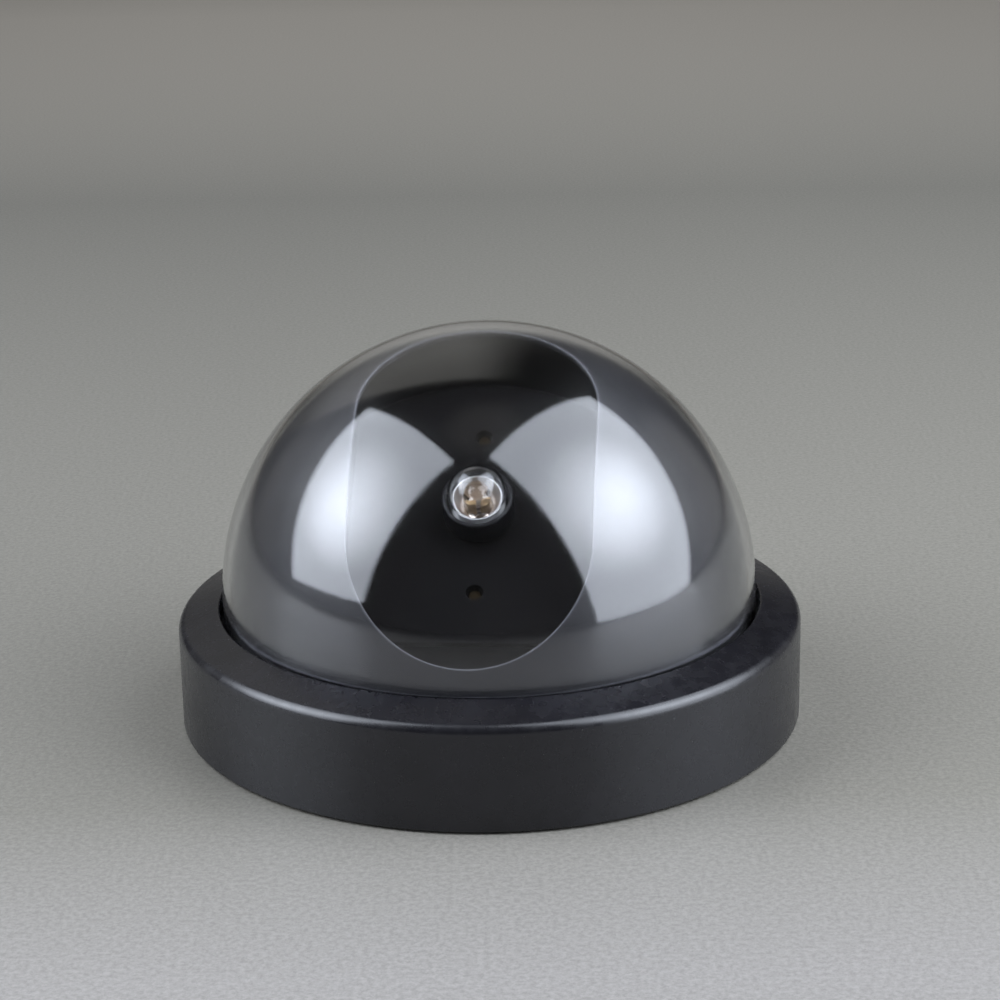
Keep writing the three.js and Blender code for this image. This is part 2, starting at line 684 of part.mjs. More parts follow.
function led() {
  const [base, rim, round] = LED_Z;
  const body = turned([
    [0, base],
    [LED_R + LED_RIM, base],
    [LED_R + LED_RIM, rim],
    [LED_R, rim],
    ...arc(0, round, LED_R, 0, 90, 4),
  ], ROUND_SMALL);
  const legZ = [BOARD_Z[1] + GAP, base + 0.1];
  const legs = [-1, 1].map((side) => post(LED_LEG_R, legZ, side * LED_LEG_X, 0, 8));
  return join(body, ...legs);
}

function ledHolder() {
  const height = [SPIGOT_BACK, LED_Z[0] - GAP];
  const through = [height[0] - 1, height[1] + 1];
  const holes = [-1, 1].map((side) => post(LED_LEG_R + GAP, through, side * LED_LEG_X, 0, 8));
  return cut(post(SPIGOT_BORE_R - GAP, height), ...holes);
}

function ledBoard() {
  const [halfX, halfY] = BOARD_HALF;
  const through = [BOARD_Z[0] - 1, BOARD_Z[1] + 1];
  const holes = BOARD_SCREW_AT.map((at) => post(PILOT_R, through, ...at, 12));
  return cut(box([-halfX, halfX], [-halfY, halfY], BOARD_Z), ...holes);
}

function flasherChip() {
  const back = BOARD_Z[0] - GAP;
  return turned([[0, back], [3, back], [2.4, back - 0.8], [1.2, back - 1.2], [0, back - 1.3]], 12);
}

function tiltLead(side) {
  return wire([
    [side * LEAD_APART, 0, PIVOT_OUT + 0.6],
    [side * LEAD_APART, -0.6, PIVOT_OUT + 4],
    [side * 3, -3, PIVOT_OUT + 10],
    [side * 4.5, -4, BOARD_Z[0] - 3],
    [side * 4.5, -4, BOARD_Z[0] - GAP],
  ]);
}

function trunnionScrew(side) {
  const length = YOKE_X[1] + GAP - CRADLE_ARM_X[0] - GAP;
  return screw(3, 1.4, TRUNNION_R, length).rotateY((-side * Math.PI) / 2);
}

function frictionWasher() {
  const bore = TRUNNION_R + GAP;
  return turned([[bore, 0], [WASHER_R, 0], [WASHER_R, WASHER_THICK], [bore, WASHER_THICK]]);
}

place(lensFrame, "tilt_cradle", cradle(), blackPlastic());
place(lensFrame, "lens_panel", lensPanel(), panelPlastic());
[["upper", 1], ["lower", -1]].forEach(([where, side]) => {
  const length = PANEL_Z[1] - PANEL_SCREW_SUNK - CRADLE_Z[0] + GAP;
  const geometry = screw(2.1, 1.4, PANEL_SCREW_HOLE_R - GAP, length);
  place(lensFrame, `panel_screw_${where}`, geometry, yellowZinc(),
    [0, side * PANEL_SCREW_Y, CRADLE_Z[0] - GAP]);
});
place(lensFrame, "lens_barrel", lensBarrel(), blackPlastic());
place(lensFrame, "front_lens", frontLens(), clearPlastic(0.3));
place(lensFrame, "reflector_cup", reflectorCup(), chromePlate());
place(lensFrame, "led", led(), finish(0xd88a3a, 0.15));
place(lensFrame, "led_holder", ledHolder(), whitePlastic());
place(lensFrame, "led_board", ledBoard(), finish(0x1f5a38, 0.5));
place(lensFrame, "flasher_chip", flasherChip(), finish(0x0f1012, 0.35));
BOARD_SCREW_AT.forEach(([x, y], i) => {
  const geometry = screw(1.3, 0.9, 0.5, 2.4);
  place(lensFrame, `board_screw_${i + 1}`, geometry, zincSteel(), [x, y, BOARD_Z[0] - GAP]);
});
place(lensFrame, "tilt_lead_red", tiltLead(1), finish(0x9c1f1c, 0.45));
place(lensFrame, "tilt_lead_black", tiltLead(-1), finish(0x17181a, 0.45));
[["left", -1], ["right", 1]].forEach(([where, side]) => {
  place(lensFrame, `trunnion_screw_${where}`, trunnionScrew(side), zincSteel(),
    [side * (YOKE_X[1] + GAP), 0, PIVOT_OUT]);
  const inner = side * (CRADLE_ARM_X[1] + GAP);
  const washer = frictionWasher().rotateY((side * Math.PI) / 2);
  place(camera, `friction_washer_${where}`, washer, finish(0x2a2a2c, 0.8), [inner, pivotY, pivotZ]);
});

export default camera;
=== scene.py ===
# A battery-powered ceiling dome camera in fine detail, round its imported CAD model.
# Sizes are in millimetres and are scaled to metres as each mesh is made. The camera's, the
# lamps' and the floor's are in metres, and so are places in the materials.

import math

import bmesh
import bpy
from mathutils import Matrix, Vector


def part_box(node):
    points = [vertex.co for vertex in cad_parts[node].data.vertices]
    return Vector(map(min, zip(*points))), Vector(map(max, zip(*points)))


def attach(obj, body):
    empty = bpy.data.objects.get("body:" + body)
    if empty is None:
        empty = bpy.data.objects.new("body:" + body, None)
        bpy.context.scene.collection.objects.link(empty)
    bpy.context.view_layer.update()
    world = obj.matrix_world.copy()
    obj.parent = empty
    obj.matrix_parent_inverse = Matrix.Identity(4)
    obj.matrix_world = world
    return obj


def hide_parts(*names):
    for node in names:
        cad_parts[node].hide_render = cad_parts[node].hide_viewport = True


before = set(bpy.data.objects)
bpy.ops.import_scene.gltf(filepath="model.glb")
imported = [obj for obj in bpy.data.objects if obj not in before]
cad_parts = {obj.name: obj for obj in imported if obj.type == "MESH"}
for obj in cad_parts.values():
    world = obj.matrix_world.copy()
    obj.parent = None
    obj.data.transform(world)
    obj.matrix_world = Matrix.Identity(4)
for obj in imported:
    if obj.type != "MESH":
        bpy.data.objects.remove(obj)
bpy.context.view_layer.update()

MM = 0.001


def span(node):
    """Lowest and highest corner of a CAD node, in millimetres."""
    low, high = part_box(node)
    return low / MM, high / MM


# ---- Dimensions, in millimetres ----

# Pairs are from low to high or from inner to outer, unless they say otherwise.

GAP = 0.3
SMOOTH = 192  # columns round a large turned piece
FINE = 96  # round a piece of the lens
SMALL = 40  # round a boss or a drill
FILLET_STEPS = 5
CURVE_STEPS = 10  # between two points of a lead's route
ON_AXIS = 1e-6  # a point nearer than this to the axis lies on it

ring_low, ring_high = span("housing_ring")
BASE_R = ring_high.x
BASE_LIFT = ring_low.z
BASE_WALL = 2.2
BASE_EDGE_R = 2
BASE_EDGE_Z = 18.4
SHOULDER_ANGLE = 72
SEAM_R = 51.1
SEAM_FLARE = 0.15  # how much wider the groove round the dome is at its top
SEAM_Z = ring_high.z

dome_low, dome_high = span("clear_dome")
DOME_R = 50.5
DOME_WALL = 1.2
DOME_Z = dome_high.z - DOME_R
DOME_FLANGE_R = dome_high.x
DOME_FLANGE_Z = (dome_low.z, dome_low.z + 1.4)
DOME_FLANGE_ROOM = 0.7  # between the flange and the ring round it

liner_low, liner_high = span("liner")
LINER_R = liner_high.x
LINER_WALL = 1.2
LINER_Z = liner_low.z
LINER_RIM = 0.58  # radius of the edge round its opening
LINER_COLUMNS = 240
LINER_ROWS = 56
RIM_STEPS = 6
SLOT_Y = (-35.7, 33.2)
SLOT_HALF_WIDTH = 21.4

LENS_ELEVATION = 50.5  # of the lens axis, in degrees
PIVOT_OUT = 4
LENS_FRAME = Matrix.Translation((0, 0, DOME_Z)) @ Matrix.Rotation(
    math.radians(90 - LENS_ELEVATION), 4, "X"
)
PIVOT = LENS_FRAME @ Vector((0, 0, PIVOT_OUT))

BAYONET_ANGLES = (90, 210, 330)
BAYONET_HALF = 7
LUG_R = (54.4, 57.5)
LUG_Z = (3.4, 5)
BOSS_ANGLES = (45, 135, 225, 315)
BOSS_CIRCLE_R = 53.6
BOSS_R = 2.3
BOSS_HOLE_R = 1.4
BOSS_Z = (16.8, 20.2)
BOSS_ROOM = 0.4  # round a boss, in the dome's flange
BOSS_ROOF = 0.6  # above the hole in a boss
CHASSIS_FLANGE_Z = (15, 16.6)
DECK_Z = (17.8, 19.3)
TURNTABLE_Z = (19.6, 21.1)

CELL_R = 7.1
CELL_LENGTH = 49.2
CELL_NUB = (2.7, 1.2)  # radius and height
CELL_Y = 13.5
CELL_Z = 10
CELL_TIP_X = 27.6
CONTACT_X = 30.2
SPRING_WIRE_R = 0.35
SPRING_R = (4.6, 3.0)  # of the coil, at its plate and at the cell
SPRING_TURNS = 3.5
SPRING_STEPS = 140

CLIP_GROOVE_R = 4.5
CLIP_GROOVE_Z = (14.8, 15.9)
CLIP_R = 7.4
CLIP_HALF_THICK = 0.25
CLIP_ANGLES = (30, 330)
LINER_TAB_ANGLES = (90, 205, 335)
LINER_TAB_HALF = 5
LINER_TAB_R = 40.5
LINER_TAB_Z = 22.8
LINER_SCREW_CIRCLE_R = 42.8
LINER_SCREW_HOLE_R = 1.1

YOKE_X = (31.7, 33.7)
TRUNNION_R = 1.5
WASHER_R = 4.2
WASHER_THICK = 0.6
CRADLE_ARM_X = (28.7, 30.5)
CRADLE_Z = (20.7, 22.3)  # from here on, heights are along the lens axis

PANEL_HALF_WIDTH = 23.8
PANEL_Y = (-27, 28.5)
PANEL_CORNER_R = 11
PANEL_TOP_R = 38.5
PANEL_Z = (24.5, 26)
PANEL_BOSS_R = 2.6
PANEL_SCREW_Y = 16.5
PANEL_SCREW_HOLE_R = 1.35
PANEL_SCREW_SUNK = 1.3

BARREL_R = 6.4
BARREL_BORE_R = 5.65
BARREL_FLOOR = 27.5
BARREL_FRONT = 31.6
SPIGOT_R = 4.2
SPIGOT_BORE_R = 3.3
SPIGOT_BACK = 23.7
LENS_R = 5.35
LENS_WALL = 0.45
LENS_Z = (28.6, 32.8)  # its back, and the centre of its domed front
CUP_Z = (27.8, 28.3, 31.6)  # under its flange, on it, and at its mouth
CUP_MOUTH_R = 4.6
CUP_WALL = 0.25

LED_R = 2.5
LED_RIM = 0.4
LED_Z = (26, 27, 32.2)  # base, top of the rim, and centre of the domed end
LED_LEG_X = 1.27
LED_LEG_HOLE_R = 0.6
LED_METAL = 0.25  # half the thickness of its lead frame
# The two parts of the lead frame: side, width, and height of the flag above the LED's base.
LEAD_FRAME = {"post": (-1, 0.9, 4.9), "anvil": (1, 1.3, 4.6)}
BOARD_Z = (21.9, 23.1)
BOARD_POST_R = 1.5
BOARD_PILOT_R = 0.8
BOARD_SCREW_AT = ((7, 4.5), (-7, -4.5))
CHIP_R = 3
CHIP_HEIGHT = 1.3
LEAD_R = 0.55
LEAD_APART = 1.3

# Screws: radius and height of the head, then radius and length of the shank.
CHASSIS_SCREW = (2.4, 1.6, BOSS_HOLE_R - GAP, 4.6)
LINER_SCREW = (1.9, 1.2, 0.8, 2.8)
PANEL_SCREW_LENGTH = PANEL_Z[1] - PANEL_SCREW_SUNK - CRADLE_Z[0] + GAP
PANEL_SCREW = (2.1, 1.4, PANEL_SCREW_HOLE_R - GAP, PANEL_SCREW_LENGTH)
BOARD_SCREW = (1.3, 0.9, 0.5, 2.4)
TRUNNION_SCREW = (3, 1.4, TRUNNION_R, YOKE_X[1] - CRADLE_ARM_X[0])


def add(name, data):
    """An object in the scene that holds that mesh, lamp or camera."""
    made = bpy.data.objects.new(name, data)
    bpy.context.scene.collection.objects.link(made)
    return made


# ---- Nodes ----

def connect(tree, value, socket):
    """Links an output to a socket, or gives the socket a constant."""
    if isinstance(value, bpy.types.NodeSocket):
        tree.links.new(value, socket)
    else:
        socket.default_value = value


def feed(tree, node, **inputs):
    """Connects inputs of a node; an underscore stands for a space in an input's name."""
    for name, value in inputs.items():
        connect(tree, value, node.inputs[name.replace("_", " ")])
    return node


def maths(tree, operation, first, second, clamp=False):
    node = tree.nodes.new("ShaderNodeMath")
    node.operation = operation
    node.use_clamp = clamp
    connect(tree, first, node.inputs[0])
    connect(tree, second, node.inputs[1])
    return node.outputs["Value"]


def vector_maths(tree, operation, first, second=(0, 0, 0)):
    node = tree.nodes.new("ShaderNodeVectorMath")
    node.operation = operation
    connect(tree, first, node.inputs[0])
    connect(tree, second, node.inputs[1])
    return node.outputs


def map_range(tree, value, start, end, low, high, kind="LINEAR"):
    """Maps a value in start..end to low..high."""
    node = tree.nodes.new("ShaderNodeMapRange")
    node.interpolation_type = kind
    feed(tree, node, Value=value, From_Min=start, From_Max=end, To_Min=low, To_Max=high)
    return node.outputs["Result"]


# ---- Camera and light ----

AZIMUTH = 5.2  # the camera stands this far round towards +X, in degrees
STAGE = Matrix.Rotation(math.radians(AZIMUTH), 4, "Z")
CAMERA_TARGET = Vector((0, 0, 0.030))
CAMERA_DISTANCE = 0.5
CAMERA_ELEVATION = 19.5
CAMERA_ROLL = -1.14
CAMERA_AIM = (0.00216, 0.01063)  # where the view's centre is, right of and above the target
CAMERA_LENS = 94.97

SOFTBOX_COLOUR = (0.83, 0.89, 1.0)
SOFTBOX_RADIANCE = 4.3
CORE_RADIANCE = 10.8
# Centre and half sides, in metres, as seen with the camera looking along +Y; then the
# brightest spot and how far it spreads, as parts of the lamp's sides.
LEFT_BOX = ((-0.645, -0.097, 0.401), (0.163, -0.309, 0.026), (0.326, 0.208, 0.281),
            (0.55, 0.54), (0.60, 0.41))
RIGHT_BOX = ((0.623, -0.106, 0.434), (0.257, 0.385, -0.013), (-0.331, 0.282, 0.429),
             (0.40, 0.53), (0.55, 0.34))

FLOOR_REACH = 12.0
ROOM_LIGHT = 0.03  # radiance of the dark studio
ROOM_COLOUR = (1.0, 0.99, 0.95, 1)
# Pale surfaces round it: direction, cosines between which they fade in, and radiance.
GLOWS = (
    ((0, 1, 0.05), 0.93, 0.995, 0.25),
    ((0, 0, 1), 0.955, 0.995, 0.12),
    ((-0.82, 0.48, 0.30), 0.91, 0.985, 0.12),
    ((0.82, 0.50, 0.20), 0.91, 0.985, 0.18),
)
# A pale ceiling behind, whose edge mirrors as a crisp line: its axis, the cosines across that
# edge, where it fades out and is full to the side and in height, and its radiance.
PALE_CEILING = ((0, 0.902, 0.432), (0.80, 0.825), (0.2, -0.1), (0, 0.8), 0.41)


def make_camera():
    elevation = math.radians(CAMERA_ELEVATION)
    roll = math.radians(CAMERA_ROLL)
    back = Vector((0, -math.cos(elevation), math.sin(elevation)))
    level = Vector((1, 0, 0))
    upright = Vector((0, math.sin(elevation), math.cos(elevation)))
    right = math.cos(roll) * level + math.sin(roll) * upright
    up = math.cos(roll) * upright - math.sin(roll) * level
    place = CAMERA_TARGET + CAMERA_DISTANCE * back
    aim = CAMERA_TARGET + CAMERA_AIM[0] * right + CAMERA_AIM[1] * up
    z_axis = (place - aim).normalized()
    x_axis = up.cross(z_axis).normalized()
    y_axis = z_axis.cross(x_axis)
    turn = Matrix((x_axis, y_axis, z_axis)).transposed().to_4x4()
    camera = add("camera", bpy.data.cameras.new("camera"))
    camera.matrix_world = STAGE @ Matrix.Translation(place) @ turn
    camera.data.sensor_width = 36
    camera.data.lens = CAMERA_LENS
    camera.data.clip_start = 0.01
    camera.data.clip_end = 50
    bpy.context.scene.camera = camera


def softbox(name, centre, across, upwards, core, spread):
    """A rectangular lamp, brightest in the middle; its half sides are vectors, in metres."""
    centre, across, upwards = Vector(centre), Vector(across), Vector(upwards)
    upwards -= upwards.project(across)
    back = across.cross(upwards).normalized()
    if back.dot(CAMERA_TARGET - centre) > 0:
        back, across = -back, -across
    turn = Matrix((across.normalized(), upwards.normalized(), back)).transposed().to_4x4()
    lamp = bpy.data.lights.new(name, "AREA")
    lamp.shape = "RECTANGLE"
    lamp.size = 2 * across.length
    lamp.size_y = 2 * upwards.length
    lamp.color = SOFTBOX_COLOUR
    lamp.energy = math.pi * lamp.size * lamp.size_y
    lamp.use_nodes = True
    tree = lamp.node_tree
    place = tree.nodes.new("ShaderNodeNewGeometry").outputs["Parametric"]
    offset = vector_maths(tree, "SUBTRACT", place, (*core, 0))["Vector"]
    scaled = vector_maths(tree, "DIVIDE", offset, (*spread, 1))["Vector"]
    distance = vector_maths(tree, "LENGTH", scaled)["Value"]
    glow = map_range(tree, distance, 0, 1, CORE_RADIANCE, SOFTBOX_RADIANCE, "SMOOTHSTEP")
    feed(tree, tree.nodes["Emission"], Strength=glow)
    holder = add(name, lamp)
    holder.matrix_world = STAGE @ Matrix.Translation(centre) @ turn
    holder.visible_camera = False


def make_world():
    """A dark studio with faint glows in it and a pale ceiling behind the object."""
    world = bpy.data.worlds.new("studio")
    world.use_nodes = True
    tree = world.node_tree
    looking = tree.nodes.new("ShaderNodeTexCoord").outputs["Generated"]

    def faded(way, start, end, top):
        axis = STAGE.to_3x3() @ Vector(way).normalized()
        along = vector_maths(tree, "DOT_PRODUCT", looking, axis)["Value"]
        return map_range(tree, along, start, end, 0, top, "SMOOTHSTEP")

    axis, edge, side, height, radiance = PALE_CEILING
    total = maths(tree, "MULTIPLY", faded(axis, *edge, radiance), faded((1, 0, 0), *side, 1))
    total = maths(tree, "MULTIPLY", total, faded((0, 0, 1), *height, 1))
    for glow in GLOWS:
        total = maths(tree, "ADD", total, faded(*glow))
    total = maths(tree, "ADD", total, ROOM_LIGHT)
    feed(tree, tree.nodes["Background"], Color=ROOM_COLOUR, Strength=total)
    bpy.context.scene.world = world


def make_lights():
    softbox("softbox_left", *LEFT_BOX)
    softbox("softbox_right", *RIGHT_BOX)
    make_world()
    bpy.context.scene.view_settings.view_transform = "Standard"


# ---- Mesh helpers ----

def from_points(name, points, faces, matrix=None):
    """An object whose points are in millimetres, in the frame of matrix."""
    mesh = bpy.data.meshes.new(name)
    mesh.from_pydata([tuple(p) for p in points], [], faces)
    scale = Matrix.Scale(MM, 4)
    mesh.transform(scale @ matrix if matrix else scale)
    bm = bmesh.new()
    bm.from_mesh(mesh)
    bmesh.ops.recalc_face_normals(bm, faces=bm.faces)
    bm.to_mesh(mesh)
    bm.free()
    return add(name, mesh)


def smooth(piece, angle=35):
    """Smooth shading that keeps hard edges and the flatness of large faces."""
    mesh = piece.data
    mesh.shade_smooth()
    mesh.set_sharp_from_angle(angle=math.radians(angle))
    weighted = piece.modifiers.new("flat_faces", "WEIGHTED_NORMAL")
    weighted.keep_sharp = True
    weighted.weight = 60
    return piece


def apply_modifiers(piece):
    """Leaves the piece with the mesh that its modifiers make."""
    graph = bpy.context.evaluated_depsgraph_get()
    made = bpy.data.meshes.new_from_object(piece.evaluated_get(graph))
    piece.modifiers.clear()
    piece.data = made
    return piece


def combine(piece, others, operation):
    """Joins or cuts a piece with others, which are used up."""
    for other in others:
        boolean = piece.modifiers.new("combine", "BOOLEAN")
        boolean.object = other
        boolean.operation = operation
        boolean.solver = "EXACT"
        apply_modifiers(piece)
        bpy.data.objects.remove(other)
    return piece


def join(piece, *others):
    return combine(piece, others, "UNION")


def cut(piece, *others):
    return combine(piece, others, "DIFFERENCE")


def bevel(piece, width):
    """Rounds the hard edges of a piece by a small width, in millimetres."""
    modifier = piece.modifiers.new("bevel", "BEVEL")
    modifier.width = width * MM
    modifier.segments = 2
    modifier.limit_method = "ANGLE"
    modifier.angle_limit = math.radians(30)
    return apply_modifiers(piece)


def rounded(points):
    """Points (x, y) or (x, y, fillet) of a closed outline, its fillets drawn as arcs."""
    outline = []
    for i, point in enumerate(points):
        corner = Vector(point[:2])
        if len(point) == 2:
            outline.append(corner)
            continue
        back = (Vector(points[i - 1][:2]) - corner).normalized()
        ahead = (Vector(points[(i + 1) % len(points)][:2]) - corner).normalized()
        half = back.angle(ahead) / 2
        centre = corner + (back + ahead).normalized() * (point[2] / math.sin(half))
        start = corner + back * (point[2] / math.tan(half)) - centre
        end = corner + ahead * (point[2] / math.tan(half)) - centre
        sweep = start.angle_signed(end)
        for step in range(FILLET_STEPS + 1):
            turn = Matrix.Rotation(-sweep * step / FILLET_STEPS, 2)
            outline.append(centre + turn @ start)
    return outline


def arc(x, y, radius, start, end, steps):
    """Points of an arc about (x, y), between two angles in degrees."""
    angles = [math.radians(start + (end - start) * i / steps) for i in range(steps + 1)]
    return [(x + radius * math.cos(a), y + radius * math.sin(a)) for a in angles]


def turned(name, points, segments=SMALL, matrix=None, thread=None):
    """A piece turned about Z from its section, whose points are as rounded() takes them.

    The section starts and ends on the axis, or else closes on itself. A point is (radius,
    height), and thread(radius, height, angle) may change its radius.
    """
    section = [(x if x > ON_AXIS else 0, z) for x, z in rounded(points)]
    vertices, rows, faces = [], [], []
    for radius, height in section:
        row = []
        for column in range(segments if radius else 1):
            angle = 2 * math.pi * column / segments
            r = thread(radius, height, angle) if thread else radius
            row.append(len(vertices))
            vertices.append((r * math.cos(angle), r * math.sin(angle), height))
        rows.append(row)
    closed_on_axis = len(rows[0]) == 1
    for i, row in enumerate(rows[:-1] if closed_on_axis else rows):
        above = rows[(i + 1) % len(rows)]
        for column in range(segments):
            after = (column + 1) % segments
            a, b = row[column % len(row)], row[after % len(row)]
            c, d = above[after % len(above)], above[column % len(above)]
            corners = list(dict.fromkeys((a, b, c, d)))
            if len(corners) > 2:
                faces.append(corners)
    return from_points(name, vertices, faces, matrix)


def lofted(name, loops, matrix=None, closed=False):
    """A solid through loops of points. Its ends are capped, or the last loop meets the first."""
    size = len(loops[0])
    vertices = [point for loop in loops for point in loop]
    faces = []
    for i in range(len(loops) if closed else len(loops) - 1):
        first, second = i * size, ((i + 1) % len(loops)) * size
        for j in range(size):
            k = (j + 1) % size
            faces.append((first + j, first + k, second + k, second + j))
    if not closed:
        faces.append(tuple(range(size)))
        faces.append(tuple(range(len(vertices) - size, len(vertices))))
    return from_points(name, vertices, faces, matrix)


def slab(name, outline, heights, fillet, matrix=None):
    """A plate of the shape outline(inset) between two heights, its rims rounded."""
    low, high = heights
    angles = [math.pi / 2 * i / 4 for i in range(5)]
    rim = [(fillet * (1 - math.sin(a)), fillet * (1 - math.cos(a))) for a in angles]
    levels = [(inset, low + rise) for inset, rise in rim]
    levels += [(inset, high - rise) for inset, rise in reversed(rim)]
    loops = [[(x, y, z) for x, y in outline(inset)] for inset, z in levels]
    return lofted(name, loops, matrix)


def block(name, x, y, z, matrix=None):
    """A box from its spans (low, high) along the three axes."""
    corners = [(x[i], y[j], z[k]) for k in (0, 1) for i, j in ((0, 0), (1, 0), (1, 1), (0, 1))]
    return lofted(name, [corners[:4], corners[4:]], matrix)


def at(x, y, z=0):
    return Matrix.Translation((x, y, z))


def rod(name, heights, radius, x=0, y=0, segments=SMALL, matrix=None):
    """A cylinder along Z at that place."""
    base = matrix if matrix else Matrix()
    points = [(0, heights[0]), (radius, heights[0]), (radius, heights[1]), (0, heights[1])]
    return turned(name, points, segments, base @ at(x, y))


def flared_drill(heights, radius, flare, matrix):
    """A drill for cut() that widens at its far end, on a surface, to soften the rim there."""
    low, high = heights
    points = [(0, low), (radius, low), (radius, high - 2 * flare), (radius + flare, high)]
    points += [(radius + flare, high + 0.5), (0, high + 0.5)]
    return turned("drill", points, SMALL, matrix)


def sector(name, radii, angles, heights):
    """A block between two radii and two angles about Z."""
    steps = max(6, round((angles[1] - angles[0]) / 2))
    inner = arc(0, 0, radii[0], angles[1], angles[0], steps)
    outline = arc(0, 0, radii[1], *angles, steps) + inner
    return lofted(name, [[(x, y, z) for x, y in outline] for z in heights])


def around(radius, degrees):
    """The place (x, y) at that radius and angle about Z."""
    return radius * math.cos(math.radians(degrees)), radius * math.sin(math.radians(degrees))


def tube(name, points, radius, sides=16, matrix=None):
    """A round tube through a close run of points, with flat ends."""
    path = [Vector(p) for p in points]
    side = None
    loops = []
    for i, point in enumerate(path):
        ahead = (path[min(i + 1, len(path) - 1)] - path[max(i - 1, 0)]).normalized()
        side = side if side is not None else ahead.orthogonal()
        side = (side - side.project(ahead)).normalized()
        up = ahead.cross(side)
        turns = [2 * math.pi * j / sides for j in range(sides)]
        loops.append([point + radius * (math.cos(t) * side + math.sin(t) * up) for t in turns])
    return lofted(name, loops, matrix)


def flowing(points):
    """Closely spaced points of the smooth curve through the given ones."""
    knots = [Vector(p) for p in points]
    knots = [2 * knots[0] - knots[1], *knots, 2 * knots[-1] - knots[-2]]
    path = []
    for a, b, c, d in zip(knots, knots[1:], knots[2:], knots[3:]):
        for i in range(CURVE_STEPS):
            t = i / CURVE_STEPS
            pull = 2 * b + t * (c - a) + t * t * (2 * a - 5 * b + 4 * c - d)
            path.append((pull + t**3 * (3 * b - 3 * c + d - a)) / 2)
    return path + [knots[-2]]


def show(piece, node, body, material):
    """Puts a finished piece in place of a CAD node."""
    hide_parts(node)
    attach(piece, body)
    piece.data.materials.clear()
    piece.data.materials.append(material)
    return piece


def refine(node, body, material, width=0.15):
    """Stands in for a CAD node with the same shape, its flat faces joined and edges rounded."""
    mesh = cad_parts[node].data.copy()
    mesh.materials.clear()
    bm = bmesh.new()
    bm.from_mesh(mesh)
    bmesh.ops.remove_doubles(bm, verts=bm.verts, dist=0.002 * MM)
    bmesh.ops.dissolve_limit(bm, angle_limit=math.radians(1), verts=bm.verts, edges=bm.edges)
    bm.to_mesh(mesh)
    bm.free()
    piece = add(node + "_fine", mesh)
    return show(smooth(bevel(piece, width), 40), node, body, material)


# ---- Materials ----

class Shader:
    """A Principled material whose textures are in the object's own coordinates, in metres."""

    def __init__(self, name, colour, roughness, metallic=0.0):
        self.material = bpy.data.materials.new(name + "_fine")
        self.material["slot"] = name
        self.material.use_nodes = True
        self.tree = self.material.node_tree
        self.principled = self.tree.nodes["Principled BSDF"]
        self.set(Base_Color=(*colour, 1), Roughness=roughness, Metallic=metallic)
        self.place = self.tree.nodes.new("ShaderNodeTexCoord").outputs["Object"]

    def set(self, **inputs):
        """Connects inputs of the Principled node."""
        feed(self.tree, self.principled, **inputs)
        return self

    def node(self, kind, **inputs):
        return feed(self.tree, self.tree.nodes.new(kind), **inputs)

    def noise(self, grain, detail=3.0, roughness=0.55):
        """Noise with features of about grain millimetres."""
        settings = {"Scale": 1 / (grain * MM), "Detail": detail, "Roughness": roughness}
        return self.node("ShaderNodeTexNoise", Vector=self.place, **settings).outputs["Fac"]

    def between(self, value, low=0, high=1, start=0.3, end=0.7):
        """Maps a value in start..end, such as most of a noise's, to low..high."""
        return map_range(self.tree, value, start, end, low, high)

    def blend(self, factor, first, second):
        """Mixes two colours or outputs."""
        made = self.node("ShaderNodeMix", Factor=factor)
        made.data_type = "RGBA"
        for socket, colour in ((made.inputs[6], first), (made.inputs[7], second)):
            constant = isinstance(colour, tuple)
            connect(self.tree, (*colour, 1) if constant else colour, socket)
        return made.outputs[2]

    def mottled(self, grain, dark, light):
        """A colour that drifts between two, in patches of about grain millimetres."""
        return self.blend(self.between(self.noise(grain)), dark, light)

    def roughened(self, grain, low, high):
        """Makes the roughness drift between two values."""
        return self.set(Roughness=self.between(self.noise(grain), low, high))

    def bump(self, height, depth):
        """Adds relief of about depth millimetres."""
        made = self.node("ShaderNodeBump", Height=height, Distance=depth * MM)
        return self.set(Normal=made.outputs["Normal"])

    def mix(self, factor, first, second):
        made = self.node("ShaderNodeMixShader", Fac=factor)
        connect(self.tree, first, made.inputs[1])
        connect(self.tree, second, made.inputs[2])
        return made.outputs["Shader"]

    def clear_to_lamps(self, tint, clear_to_gloss=False):
        """Lets lamp light straight through, as thin clear plastic does, and where asked also
        what glossy neighbours mirror, which is slow to settle when it bends on the way."""
        path = self.node("ShaderNodeLightPath").outputs
        surface = self.principled.outputs["BSDF"]
        open_way = self.node("ShaderNodeBsdfTransparent", Color=(*tint, 1)).outputs["BSDF"]
        if clear_to_gloss:
            gloss, bent = path["Is Glossy Ray"], path["Is Transmission Ray"]
            backfacing = self.node("ShaderNodeNewGeometry").outputs["Backfacing"]
            within = maths(self.tree, "SUBTRACT", backfacing, path["Transparent Depth"], True)
            mirrored = maths(self.tree, "SUBTRACT", gloss, bent, True)
            mirrored = maths(self.tree, "SUBTRACT", mirrored, within, True)
            straight = maths(self.tree, "MAXIMUM", path["Is Shadow Ray"], mirrored, True)
            through = self.mix(straight, surface, open_way)
            shader = self.mix(path["Is Camera Ray"], through, surface)
        else:
            shader = self.mix(path["Is Shadow Ray"], surface, open_way)
        feed(self.tree, self.tree.nodes["Material Output"], Surface=shader)
        return self


def moulded(name, dark, light, roughness, grain, relief, mottle=9.0):
    """Injection-moulded plastic: faint mottling, a fine grain and uneven sheen."""
    shader = Shader(name, dark, roughness)
    shader.set(Base_Color=shader.mottled(mottle, dark, light))
    shader.roughened(mottle / 3, roughness - 0.05, roughness + 0.06)
    shader.bump(shader.noise(grain, 2.0), relief)
    return shader


